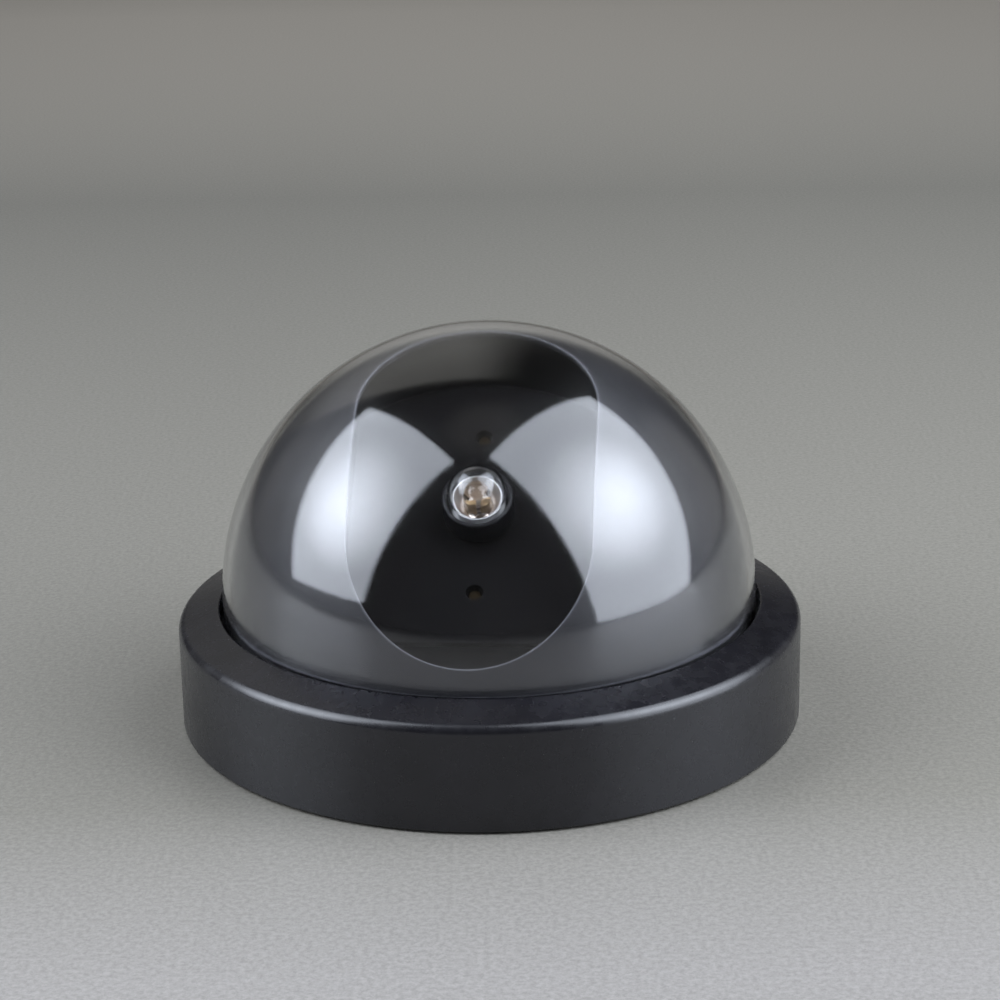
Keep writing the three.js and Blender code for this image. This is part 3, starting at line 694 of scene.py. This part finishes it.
def base_plastic():
    dark, light = (0.0040, 0.0038, 0.0052), (0.0065, 0.0062, 0.0082)
    shader = moulded("base_plastic", dark, light, 0.27, 0.5, 0.002)
    return shader.set(Specular_IOR_Level=0.57).material


def plate_plastic():
    dark, light = (0.014, 0.014, 0.016), (0.022, 0.022, 0.024)
    return moulded("plate_plastic", dark, light, 0.5, 0.3, 0.015).material


def inner_plastic():
    dark, light = (0.016, 0.016, 0.017), (0.026, 0.026, 0.027)
    return moulded("inner_plastic", dark, light, 0.5, 0.3, 0.012).material


def liner_gloss():
    """Satin black, with a painted highlight: paler along its sharp convex edges, such as the rim
    of its opening.
    """
    shader = Shader("liner_gloss", (0.014, 0.0145, 0.016), 0.38)
    body = shader.mottled(12.0, (0.0125, 0.0125, 0.014), (0.0175, 0.0175, 0.019))
    # Painted highlight: sharp convex edges, found by pointiness, get a pale colour for the light
    # that the rim catches.
    pointed = shader.node("ShaderNodeNewGeometry").outputs["Pointiness"]
    edge = shader.between(pointed, start=0.506, end=0.52)
    shader.set(Base_Color=shader.blend(edge, body, (0.062, 0.062, 0.068)))
    shader.roughened(4.0, 0.34, 0.42)
    shader.bump(shader.noise(0.5, 2.0), 0.004)
    return shader.set(Specular_IOR_Level=0.36).material


def panel_plastic():
    dark, light = (0.0022, 0.0020, 0.0022), (0.0042, 0.0036, 0.0036)
    shader = moulded("panel_plastic", dark, light, 0.45, 0.25, 0.01, 14)
    return shader.set(Specular_IOR_Level=0.08).material


def barrel_plastic():
    dark, light = (0.005, 0.005, 0.006), (0.008, 0.008, 0.009)
    shader = moulded("barrel_plastic", dark, light, 0.35, 0.2, 0.006, 3)
    return shader.set(Specular_IOR_Level=0.3).material


def clear(name, ior, roughness, tint, clear_to_gloss=False):
    """Clear plastic, whose tint is what it leaves of the light that passes straight through."""
    shader = Shader(name, (1, 1, 1), roughness)
    shader.set(Transmission_Weight=1.0, IOR=ior)
    return shader.clear_to_lamps(tint, clear_to_gloss)


def dome_clear():
    shader = clear("dome_clear", 1.49, 0.0, (0.9, 0.9, 0.91), clear_to_gloss=True)
    shader.roughened(11.0, 0.05, 0.075)
    shader.set(Base_Color=shader.mottled(20.0, (0.985, 0.99, 0.99), (1.0, 1.0, 1.0)))
    return shader.material


def lens_clear():
    shader = clear("lens_clear", 1.49, 0.0, (0.95, 0.95, 0.95))
    shader.set(Roughness=shader.between(shader.noise(2.0), 0.0, 0.02, 0.5, 0.8))
    return shader.material


def led_resin():
    shader = clear("led_resin", 1.5, 0.02, (0.95, 0.8, 0.65))
    shader.set(Base_Color=shader.mottled(1.0, (0.96, 0.86, 0.79), (0.98, 0.90, 0.84)))
    return shader.material


def metal(name, dark, light, roughness, grain=0.4, relief=0.006):
    shader = Shader(name, dark, roughness, metallic=1.0)
    shader.set(Base_Color=shader.mottled(4 * grain, dark, light))
    shader.roughened(2 * grain, roughness - 0.08, roughness + 0.1)
    shader.bump(shader.noise(grain), relief)
    return shader.material


def zinc_screws():
    return metal("zinc_screws", (0.42, 0.43, 0.45), (0.58, 0.59, 0.60), 0.32)


def yellow_zinc():
    # Painted shade: far darker than the plating itself, so the screws look sunk in shadow in the
    # panel's holes.
    return metal("yellow_zinc", (0.024, 0.017, 0.009), (0.038, 0.028, 0.016), 0.45)


def contact_steel():
    return metal("contact_steel", (0.52, 0.52, 0.53), (0.66, 0.66, 0.66), 0.26)


def reflector_chrome():
    return metal("reflector_chrome", (0.58, 0.58, 0.58), (0.66, 0.66, 0.66), 0.42, 1.0, 0.002)


def led_frame():
    """Steel like the contacts, seen amber through the resin."""
    material = metal("led_frame", (0.22, 0.165, 0.085), (0.29, 0.225, 0.125), 0.45)
    material["slot"] = "contact_steel"
    return material


def holder_plastic():
    dark, light = (0.62, 0.61, 0.57), (0.72, 0.71, 0.67)
    return moulded("holder_plastic", dark, light, 0.5, 0.2, 0.01, 2).material


def board_laminate():
    dark, light = (0.012, 0.085, 0.035), (0.02, 0.12, 0.05)
    return moulded("board_laminate", dark, light, 0.35, 0.6, 0.01, 2.5).material


def chip_epoxy():
    dark, light = (0.006, 0.006, 0.007), (0.012, 0.012, 0.012)
    return moulded("chip_epoxy", dark, light, 0.25, 0.5, 0.02, 1.5).material


def cell_jacket():
    """A blue film, with a pale band over the +X end of each cell."""
    shader = Shader("cell_jacket", (0.02, 0.07, 0.30), 0.25, 0.35)
    across = shader.node("ShaderNodeSeparateXYZ", Vector=shader.place).outputs["X"]
    band = shader.between(across, start=0.0135, end=0.0140)  # in metres
    film = shader.mottled(5.0, (0.018, 0.06, 0.26), (0.025, 0.08, 0.33))
    shader.set(Base_Color=shader.blend(band, film, (0.55, 0.54, 0.50)))
    shader.roughened(2.0, 0.2, 0.34)
    shader.bump(shader.noise(1.5), 0.01)
    return shader.material


def insulation(name, dark, light):
    return moulded(name, dark, light, 0.42, 0.4, 0.01, 4).material


def lead_red():
    return insulation("lead_red", (0.26, 0.012, 0.010), (0.34, 0.018, 0.014))


def lead_black():
    return insulation("lead_black", (0.010, 0.010, 0.011), (0.017, 0.017, 0.018))


def washer_rubber():
    dark, light = (0.012, 0.012, 0.012), (0.02, 0.02, 0.02)
    return moulded("washer_rubber", dark, light, 0.75, 0.15, 0.02, 2).material


# ---- Housing ----

def housing_ring(material):
    """The base's wall and shoulder, with the bosses and bayonet lugs inside."""
    inner = BASE_R - BASE_WALL
    ring = turned("housing_ring_shell", [
        (inner, BASE_LIFT, 0.3),
        (BASE_R, BASE_LIFT, 0.4),
        *arc(BASE_R - BASE_EDGE_R, BASE_EDGE_Z, BASE_EDGE_R, 0, SHOULDER_ANGLE, 12),
        (SEAM_R + SEAM_FLARE, SEAM_Z, 0.35),
        (SEAM_R, BOSS_Z[1], 0.2),
        (DOME_FLANGE_R + DOME_FLANGE_ROOM, DOME_FLANGE_Z[1] + GAP, 0.3),
        (inner, CHASSIS_FLANGE_Z[1], 0.5),
    ], SMOOTH)
    bosses, holes = [], []
    for degrees in BOSS_ANGLES:
        x, y = around(BOSS_CIRCLE_R, degrees)
        bosses.append(rod("boss", BOSS_Z, BOSS_R, x, y))
        holes.append(rod("drill", (BOSS_Z[0] - 1, BOSS_Z[1] - BOSS_ROOF), BOSS_HOLE_R, x, y))
    lugs = [
        bevel(sector("lug", LUG_R, (a - BAYONET_HALF, a + BAYONET_HALF), LUG_Z), 0.2)
        for a in BAYONET_ANGLES
    ]
    show(smooth(cut(join(ring, *bosses, *lugs), *holes)), "housing_ring", "housing", material)


def clear_dome(material):
    """A thin shell, with a flange that the ring's bosses pass through."""
    inner = DOME_R - DOME_WALL
    dome = turned("dome_shell", [
        *arc(0, DOME_Z, inner, 90, 0, 80),
        (inner, DOME_FLANGE_Z[0], 0.2),
        (DOME_FLANGE_R, DOME_FLANGE_Z[0], 0.2),
        (DOME_FLANGE_R, DOME_FLANGE_Z[1], 0.2),
        (DOME_R, DOME_FLANGE_Z[1], 0.3),
        *arc(0, DOME_Z, DOME_R, 0, 90, 80),
    ], SMOOTH)
    heights = (DOME_FLANGE_Z[0] - 1, DOME_FLANGE_Z[1] + 1)
    places = [around(BOSS_CIRCLE_R, degrees) for degrees in BOSS_ANGLES]
    notches = [rod("notch", heights, BOSS_R + BOSS_ROOM, x, y) for x, y in places]
    show(smooth(cut(dome, *notches)), "clear_dome", "housing", material)


def cell(index, side, material, steel):
    """A cell whose jacket wraps over the rims of its bare steel ends."""
    nub_r, nub_height = CELL_NUB
    bottom = -CELL_LENGTH - nub_height
    turn = Matrix.Rotation(side * math.pi / 2, 4, "Y")
    place = at(side * CELL_TIP_X, side * CELL_Y, CELL_Z)
    piece = turned(f"aa_cell_{index}_fine", [
        (0, bottom),
        (CELL_R - 1.2, bottom, 0.2),
        (CELL_R - 1.0, bottom + 0.3, 0.1),
        (CELL_R, bottom + 0.3, 0.6),
        (CELL_R, -nub_height, 0.7),
        (CELL_R - 1.6, -nub_height, 0.2),
        (CELL_R - 1.8, -nub_height - 0.3, 0.1),
        (nub_r + 0.3, -nub_height - 0.3, 0.2),
        (nub_r, 0, 0.5),
        (0, 0),
    ], FINE, place @ turn)
    show(smooth(piece), f"aa_cell_{index}", "housing", material)
    piece.data.materials.append(steel)
    for face in piece.data.polygons:
        reach = math.hypot(face.center.y - side * CELL_Y * MM, face.center.z - CELL_Z * MM)
        if reach < (CELL_R - 1.5) * MM:  # a bare end
            face.material_index = 1


def battery_spring(index, side, material):
    """A coil that narrows from its contact plate to the flat end of a cell."""
    start = CONTACT_X - GAP - SPRING_WIRE_R
    flat_end = CELL_LENGTH + CELL_NUB[1] - CELL_TIP_X
    length = start - flat_end - GAP - SPRING_WIRE_R
    points = []
    for i in range(SPRING_STEPS + 1):
        t = i / SPRING_STEPS
        radius = SPRING_R[0] + (SPRING_R[1] - SPRING_R[0]) * t
        angle = 2 * math.pi * SPRING_TURNS * t
        points.append((length * t, radius * math.cos(angle), radius * math.sin(angle)))
    spin = Matrix.Rotation(math.pi if side > 0 else 0, 4, "Y")
    matrix = at(side * start, -side * CELL_Y, CELL_Z) @ spin
    piece = tube(f"battery_spring_{index}_fine", points, SPRING_WIRE_R, 14, matrix)
    show(smooth(piece), f"battery_spring_{index}", "housing", material)


def lead(node, body, points, material, matrix=None):
    """A length of insulated wire through the given points."""
    piece = tube(node + "_fine", flowing(points), LEAD_R, 18, matrix)
    show(smooth(piece, 50), node, body, material)


# ---- Screws ----

def plus_sign(reach, scale, z):
    """The outline of a cross recess at height z, its arms shortened to scale."""
    a, b = reach * scale, 0.26 * reach * (0.4 + 0.6 * scale)
    points = []
    for quarter in range(4):
        spin = Matrix.Rotation(math.pi / 2 * quarter, 2)
        points += [spin @ Vector(p) for p in ((a, -b), (a, b), (b, b))]
    return [(*point, z) for point in points]


def screw(node, body, size, material, matrix):
    """A cross-head screw standing on the underside of its head, its threaded shank up +Z."""
    head_r, head_height, shank_r, length = size
    pitch, depth = 0.36 * shank_r + 0.12, 0.12 * shank_r + 0.02
    plain = 0.25  # of the shank under the head, which has no thread
    rows = max(12, round(length / pitch * 8))

    def thread(radius, height, angle):
        if height < plain or radius < 0.9 * shank_r or radius > 1.01 * shank_r:
            return radius
        phase = (height / pitch - angle / (2 * math.pi)) % 1
        fade = min(1, (height - plain) / pitch, max(0, (length - height) / pitch))
        return radius - depth * fade * abs(2 * phase - 1)

    profile = [(0, -head_height), (0.55 * head_r, -head_height)]
    for degrees in range(15, 90, 15):  # the crown of the head
        x, z = around(1, degrees)
        profile.append(((0.55 + 0.45 * z) * head_r, (-0.45 - 0.55 * x) * head_height))
    profile += [(head_r, -0.35 * head_height), (head_r, 0, 0.06), (shank_r, 0)]
    profile += [(shank_r, length * i / rows) for i in range(1, rows)]
    profile += [(shank_r, length - 0.01), (0.75 * shank_r, length), (0, length)]
    piece = turned(node + "_fine", profile, 36, matrix, thread)
    levels = [(1.0, -head_height - 0.3), (1.0, -head_height), (0.35, -0.4 * head_height)]
    recess = lofted("recess", [plus_sign(0.6 * head_r, *level) for level in levels], matrix)
    show(smooth(cut(piece, recess), 40), node, body, material)


# ---- Pan: liner, clip and washers ----

def slot_reach(angle):
    """Distance from the lens axis to the edge of the liner's opening, in that direction."""
    across, along = math.cos(angle), math.sin(angle)
    end = SLOT_Y[1] - SLOT_HALF_WIDTH if along > 0 else SLOT_Y[0] + SLOT_HALF_WIDTH
    if abs(along) * SLOT_HALF_WIDTH <= abs(end * across):
        return SLOT_HALF_WIDTH / abs(across)
    return end * along + math.sqrt(SLOT_HALF_WIDTH**2 - (end * across) ** 2)


def liner_rim_angle(radius, angle):
    """How far from the lens axis the liner's lower edge is, on a sphere of that radius."""
    tilt = math.radians(LENS_ELEVATION)
    level, lean = math.sin(tilt), math.cos(tilt) * math.sin(angle)
    reach = math.hypot(level, lean)
    return math.atan2(lean, level) + math.acos((LINER_Z - DOME_Z) / radius / reach)


def liner_arch(radius, angle, reach):
    """One face of the liner's section, from its lower edge to where the opening's rim bends."""
    start = liner_rim_angle(radius, angle)
    end = math.asin(reach / radius) + LINER_RIM / radius
    turns = [start + (end - start) * i / LINER_ROWS for i in range(LINER_ROWS + 1)]
    return [Vector((radius * math.sin(a), radius * math.cos(a))) for a in turns]


def rim_bend(start, corner, end):
    """Points from start to end, rounding the corner between them."""
    shares = [i / RIM_STEPS for i in range(RIM_STEPS + 1)]
    return [start * (1 - t) ** 2 + corner * 2 * t * (1 - t) + end * t * t for t in shares]


def liner(material):
    """The shell as sections through the lens axis, each from the lower edge to the opening."""
    outer, inner = LINER_R, LINER_R - LINER_WALL
    loops = []
    for column in range(LINER_COLUMNS):
        angle = 2 * math.pi * column / LINER_COLUMNS
        reach = slot_reach(angle)
        outside, inside = liner_arch(outer, angle, reach), liner_arch(inner, angle, reach)
        outer_corner = Vector((reach, math.sqrt(outer**2 - reach**2)))
        inner_corner = Vector((reach, math.sqrt(inner**2 - reach**2)))
        wall = LINER_RIM * (outer_corner - inner_corner).normalized()
        section = outside + rim_bend(outside[-1], outer_corner, outer_corner - wall)[1:]
        section += rim_bend(inner_corner + wall, inner_corner, inside[-1])[:-1]
        section += reversed(inside)
        x, y = math.cos(angle), math.sin(angle)
        loops.append([(p.x * x, p.x * y, p.y) for p in section])
    shell = lofted("liner_shell", loops, LENS_FRAME, closed=True)
    tabs, holes = [], []
    for degrees in LINER_TAB_ANGLES:
        radii = (LINER_TAB_R, inner + 0.4)
        angles = (degrees - LINER_TAB_HALF, degrees + LINER_TAB_HALF)
        tabs.append(sector("tab", radii, angles, (LINER_Z, LINER_TAB_Z)))
        x, y = around(LINER_SCREW_CIRCLE_R, degrees)
        holes.append(rod("drill", (LINER_Z - 1, LINER_TAB_Z + 1), LINER_SCREW_HOLE_R, x, y))
    show(smooth(cut(join(shell, *tabs), *holes)), "liner", "pan_carrier", material)


def pan_clip(material):
    """The open ring that holds the turntable's hub in the deck."""
    middle = sum(CLIP_GROOVE_Z) / 2
    heights = (middle - CLIP_HALF_THICK, middle + CLIP_HALF_THICK)
    piece = sector("pan_clip_fine", (CLIP_GROOVE_R + GAP, CLIP_R), CLIP_ANGLES, heights)
    show(smooth(bevel(piece, 0.08)), "pan_clip", "pan_carrier", material)


def friction_washer(where, side, material):
    """A rubber ring between a cradle arm and its yoke."""
    turn = Matrix.Rotation(side * math.pi / 2, 4, "Y")
    place = at(side * (CRADLE_ARM_X[1] + GAP), PIVOT.y, PIVOT.z)
    bore = TRUNNION_R + GAP
    piece = turned(f"friction_washer_{where}_fine", [
        (bore, 0, 0.1),
        (WASHER_R, 0, 0.1),
        (WASHER_R, WASHER_THICK, 0.1),
        (bore, WASHER_THICK, 0.1),
    ], 72, place @ turn)
    show(smooth(piece), f"friction_washer_{where}", "pan_carrier", material)


# ---- Tilt: panel, barrel, lens and flashing light ----

def panel_outline(inset):
    """Rounded below, straight at the sides, and an arc along the top."""
    low, top = PANEL_Y
    half, corner, crown = PANEL_HALF_WIDTH - inset, PANEL_CORNER_R - inset, PANEL_TOP_R - inset
    x, y = half - corner, low + inset + corner
    shoulder = math.degrees(math.acos(half / crown))
    return (
        arc(x, y, corner, -90, 0, 16)
        + arc(0, top - PANEL_TOP_R, crown, shoulder, 180 - shoulder, 48)
        + arc(-x, y, corner, 180, 270, 16)
    )


def lens_panel(material):
    """The flat panel, with bosses for its screws and posts for the board's behind it."""
    panel = slab("lens_panel_fine", panel_outline, PANEL_Z, 0.4, LENS_FRAME)
    behind = PANEL_Z[0] + 0.1
    posts, drills = [], []
    for y in (-PANEL_SCREW_Y, PANEL_SCREW_Y):
        place = LENS_FRAME @ at(0, y)
        posts.append(rod("boss", (CRADLE_Z[1] + GAP, behind), PANEL_BOSS_R, matrix=place))
        drills.append(flared_drill((CRADLE_Z[1], PANEL_Z[1]), PANEL_SCREW_HOLE_R, 0.2, place))
    for x, y in BOARD_SCREW_AT:
        place = LENS_FRAME @ at(x, y)
        posts.append(rod("post", (BOARD_Z[1] + GAP, behind), BOARD_POST_R, matrix=place))
        drills.append(rod("pilot", (BOARD_Z[1], PANEL_Z[0] + 0.2), BOARD_PILOT_R, matrix=place))
    seat = (CRADLE_Z[1], PANEL_Z[1] + 1)
    drills.append(rod("seat", seat, SPIGOT_R + 0.4, segments=FINE, matrix=LENS_FRAME))
    show(smooth(cut(join(panel, *posts), *drills)), "lens_panel", "tilt_head", material)


def turned_on_lens(node, material, points, segments=FINE, angle=35):
    """Puts a piece turned about the lens axis in place of a CAD node."""
    piece = turned(node + "_fine", points, segments, LENS_FRAME)
    show(smooth(piece, angle), node, "tilt_head", material)


def lens_barrel(material):
    """A collar in front of the panel, with a spigot through it."""
    seat = PANEL_Z[1] + GAP
    turned_on_lens("lens_barrel", material, [
        (SPIGOT_BORE_R, SPIGOT_BACK, 0.1),
        (SPIGOT_R, SPIGOT_BACK, 0.2),
        (SPIGOT_R, seat),
        (BARREL_R, seat, 0.25),
        (BARREL_R, BARREL_FRONT, 0.4),
        (BARREL_BORE_R, BARREL_FRONT, 0.2),
        (BARREL_BORE_R, BARREL_FLOOR, 0.1),
        (SPIGOT_BORE_R, BARREL_FLOOR, 0.1),
    ])


def front_lens(material):
    """A clear cap with a domed front, open behind."""
    back, centre = LENS_Z
    inner = LENS_R - LENS_WALL
    turned_on_lens("front_lens", material, [
        *arc(0, centre, inner, 90, 0, 32),
        (inner, back, 0.1),
        (LENS_R, back, 0.1),
        *arc(0, centre, LENS_R, 0, 90, 32),
    ])


def reflector_cup(material):
    """A thin flared cup round the LED, on a flange."""
    under, flange, mouth = CUP_Z
    bore = LED_R + GAP
    spread, steps = CUP_MOUTH_R - CUP_WALL - bore, 12
    inside = []
    for i in range(1, steps):
        t = i / steps
        inside.append((bore + spread * t**0.45, flange + (mouth - flange) * t))
    outside = [(r + CUP_WALL, z) for r, z in inside]
    turned_on_lens("reflector_cup", material, [
        (bore, under, 0.06),
        (LENS_R, under, 0.06),
        (LENS_R, flange, 0.06),
        (bore + 2 * CUP_WALL, flange),
        *outside[1:],
        (CUP_MOUTH_R, mouth, 0.06),
        (CUP_MOUTH_R - CUP_WALL, mouth, 0.06),
        *reversed(inside),
        (bore, flange),
    ], angle=50)


def led(resin, steel):
    """The clear body of the light, with the two metal parts of its lead frame inside."""
    base, rim, top = LED_Z
    turned_on_lens("led", resin, [
        (0, base),
        (LED_R + LED_RIM, base, 0.1),
        (LED_R + LED_RIM, rim, 0.15),
        (LED_R, rim),
        *arc(0, top, LED_R, 0, 90, 24),
    ])
    for name, (side, width, height) in LEAD_FRAME.items():
        piece = lead_frame_part(name, side, width, base, base + height)
        piece.data.materials.clear()
        piece.data.materials.append(steel)
        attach(smooth(piece), "tilt_head")


def lead_frame_part(name, side, width, base, top):
    """A leg, a shoulder towards the middle and a flag on it. The anvil's flag holds a cup."""
    thick = (-LED_METAL, LED_METAL)
    leg_x = (side * LED_LEG_X - LED_METAL, side * LED_LEG_X + LED_METAL)
    inner = side * 0.2
    flag_x = sorted((inner, inner + side * width))
    shoulder_x = sorted((inner, side * (LED_LEG_X + LED_METAL)))
    leg = block(f"led_{name}", leg_x, thick, (BOARD_Z[1] + GAP, base + 2.4), LENS_FRAME)
    flag = block("flag", flag_x, thick, (base + 2.2, top), LENS_FRAME)
    shoulder = block("shoulder", shoulder_x, thick, (base + 1.9, base + 2.6), LENS_FRAME)
    piece = bevel(join(leg, shoulder, flag), 0.08)
    if side < 0:
        return piece
    place = LENS_FRAME @ at(inner + width / 2, 0)
    return join(piece, turned("cup", [
        (0, base + 3.6),
        (0.45, base + 3.6),
        (0.62, top),
        (0.62, top + 0.25),
        (0.5, top + 0.25),
        (0.3, top - 0.1),
        (0, top - 0.1),
    ], 32, place))


def led_holder(material):
    """A disc in the spigot, with two holes for the legs of the LED."""
    low, high = SPIGOT_BACK, LED_Z[0] - GAP
    r = SPIGOT_BORE_R - GAP
    points = [(0, low), (r, low, 0.12), (r, high, 0.12), (0, high)]
    disc = turned("led_holder_fine", points, 64, LENS_FRAME)
    through = (low - 1, high + 1)
    holes = [
        rod("drill", through, LED_LEG_HOLE_R, x, segments=24, matrix=LENS_FRAME)
        for x in (-LED_LEG_X, LED_LEG_X)
    ]
    show(smooth(cut(disc, *holes)), "led_holder", "tilt_head", material)


def flasher_chip(material):
    """A blob of black epoxy on the back of the board."""
    back = BOARD_Z[0] - GAP
    points = [(0, back)]
    for degrees in range(0, 90, 9):
        x, y = around(1, degrees)
        points.append((CHIP_R * x, back - CHIP_HEIGHT * y))
    points.append((0, back - CHIP_HEIGHT))
    turned_on_lens("flasher_chip", material, points, 48)


# ---- Floor ----

def floor():
    """A speckled sheet of one paper, with painted light and shade: paler in front and far
    behind, and a little darker on the left.
    """
    reach = FLOOR_REACH
    corners = [(-reach, -reach, 0), (reach, -reach, 0), (reach, reach, 0), (-reach, reach, 0)]
    mesh = bpy.data.meshes.new("floor")
    mesh.from_pydata(corners, [], [(0, 1, 2, 3)])
    piece = add("floor", mesh)
    piece.matrix_world = STAGE
    shader = Shader("floor_sheet", (0.13, 0.125, 0.11), 0.45)
    speckle = shader.between(shader.noise(1.0, 4.0, 0.8), start=0.38, end=0.62)
    # Painted light and shade: lit and shaded copies of the sheet's colour, blended by place
    # below.
    left = shader.blend(speckle, (0.129, 0.122, 0.104), (0.181, 0.172, 0.148))
    right = shader.blend(speckle, (0.143, 0.136, 0.115), (0.201, 0.190, 0.163))
    front = shader.blend(speckle, (0.188, 0.177, 0.164), (0.262, 0.248, 0.230))
    far = shader.blend(speckle, (0.45, 0.405, 0.34), (0.53, 0.48, 0.405))
    place = shader.node("ShaderNodeSeparateXYZ", Vector=shader.place).outputs
    near = shader.blend(shader.between(place["X"], start=-0.07, end=0.10), left, right)
    near = shader.blend(shader.between(place["Y"], start=-0.045, end=-0.11), near, front)
    whole = shader.blend(shader.between(place["Y"], start=0.48, end=0.97), near, far)
    shader.set(Base_Color=whole)
    shader.bump(shader.noise(0.8), 0.08)
    mesh.materials.append(shader.material)


# ---- The whole camera ----

def on_circle(radius, degrees, z, flipped=False):
    """The frame of a screw that points up, or down when flipped."""
    x, y = around(radius, degrees)
    place = at(x, y, z)
    return place @ Matrix.Rotation(math.pi, 4, "X") if flipped else place


def make_housing(inner, zinc, steel):
    housing_ring(base_plastic())
    clear_dome(dome_clear())
    refine("chassis", "housing", inner)
    for i, degrees in enumerate(BOSS_ANGLES, 1):
        place = on_circle(BOSS_CIRCLE_R, degrees, CHASSIS_FLANGE_Z[0] - GAP)
        screw(f"chassis_screw_{i}", "housing", CHASSIS_SCREW, zinc, place)
    jacket = cell_jacket()
    for i, side in enumerate((1, -1), 1):
        cell(i, side, jacket, steel)
        battery_spring(i, -side, steel)
    for node in ("battery_link_plate", "battery_terminal_plus", "battery_terminal_minus"):
        refine(node, "housing", steel, 0.06)


def make_leads(colour, side, material):
    """One wire in three lengths, which stop short of each other at the pan and tilt joints."""
    y, x = side * LEAD_APART, CONTACT_X - GAP
    lead(f"battery_lead_{colour}", "housing", [
        (x, side * 3.8, CELL_Z),
        (x - 4, side * 3.4, CELL_Z),
        (14, y, CELL_Z - 0.5),
        (5, y, CELL_Z - 0.3),
        (1.2, y, CELL_Z + 1.4),
        (0, y, CELL_Z + 4.5),
        (0, y, DECK_Z[0] + 0.1),
    ], material)
    lead(f"pan_lead_{colour}", "pan_carrier", [
        (0, y, DECK_Z[0] + 0.6),
        (0, y, TURNTABLE_Z[0]),
        (side * 0.7, side * 0.9 - 0.8, TURNTABLE_Z[1] + 1),
        (y, PIVOT.y, PIVOT.z - 3.4),
        (y, PIVOT.y, PIVOT.z - 1.6),
    ], material)
    lead(f"tilt_lead_{colour}", "tilt_head", [
        (y, 0, PIVOT_OUT + 0.6),
        (y, -0.6, PIVOT_OUT + 4),
        (side * 3, -3, PIVOT_OUT + 10),
        (side * 4.5, -4, BOARD_Z[0] - 3),
        (side * 4.5, -4, BOARD_Z[0] - GAP),
    ], material, LENS_FRAME)


def make_pan_carrier(inner, zinc):
    refine("pan_turntable", "pan_carrier", inner)
    pan_clip(zinc)
    liner(liner_gloss())
    for i, degrees in enumerate(LINER_TAB_ANGLES, 1):
        place = on_circle(LINER_SCREW_CIRCLE_R, degrees, LINER_TAB_Z + GAP, flipped=True)
        screw(f"liner_screw_{i}", "pan_carrier", LINER_SCREW, zinc, place)


def make_tilt_head(inner, zinc):
    refine("tilt_cradle", "tilt_head", inner)
    lens_panel(panel_plastic())
    yellow = yellow_zinc()
    for where, y in (("upper", PANEL_SCREW_Y), ("lower", -PANEL_SCREW_Y)):
        place = LENS_FRAME @ at(0, y, CRADLE_Z[0] - GAP)
        screw(f"panel_screw_{where}", "tilt_head", PANEL_SCREW, yellow, place)
    lens_barrel(barrel_plastic())
    front_lens(lens_clear())
    reflector_cup(reflector_chrome())
    led(led_resin(), led_frame())
    led_holder(holder_plastic())
    refine("led_board", "tilt_head", board_laminate(), 0.08)
    flasher_chip(chip_epoxy())
    for i, (x, y) in enumerate(BOARD_SCREW_AT, 1):
        place = LENS_FRAME @ at(x, y, BOARD_Z[0] - GAP)
        screw(f"board_screw_{i}", "tilt_head", BOARD_SCREW, zinc, place)
    rubber = washer_rubber()
    for where, side in (("left", -1), ("right", 1)):
        place = LENS_FRAME @ at(side * (YOKE_X[1] + GAP), 0, PIVOT_OUT)
        place = place @ Matrix.Rotation(-side * math.pi / 2, 4, "Y")
        screw(f"trunnion_screw_{where}", "tilt_head", TRUNNION_SCREW, zinc, place)
        friction_washer(where, side, rubber)


def build():
    inner, zinc, steel = inner_plastic(), zinc_screws(), contact_steel()
    refine("mounting_plate", "plate", plate_plastic(), 0.2)
    make_housing(inner, zinc, steel)
    make_leads("red", 1, lead_red())
    make_leads("black", -1, lead_black())
    make_pan_carrier(inner, zinc)
    make_tilt_head(inner, zinc)


make_camera()
make_lights()
floor()
build()
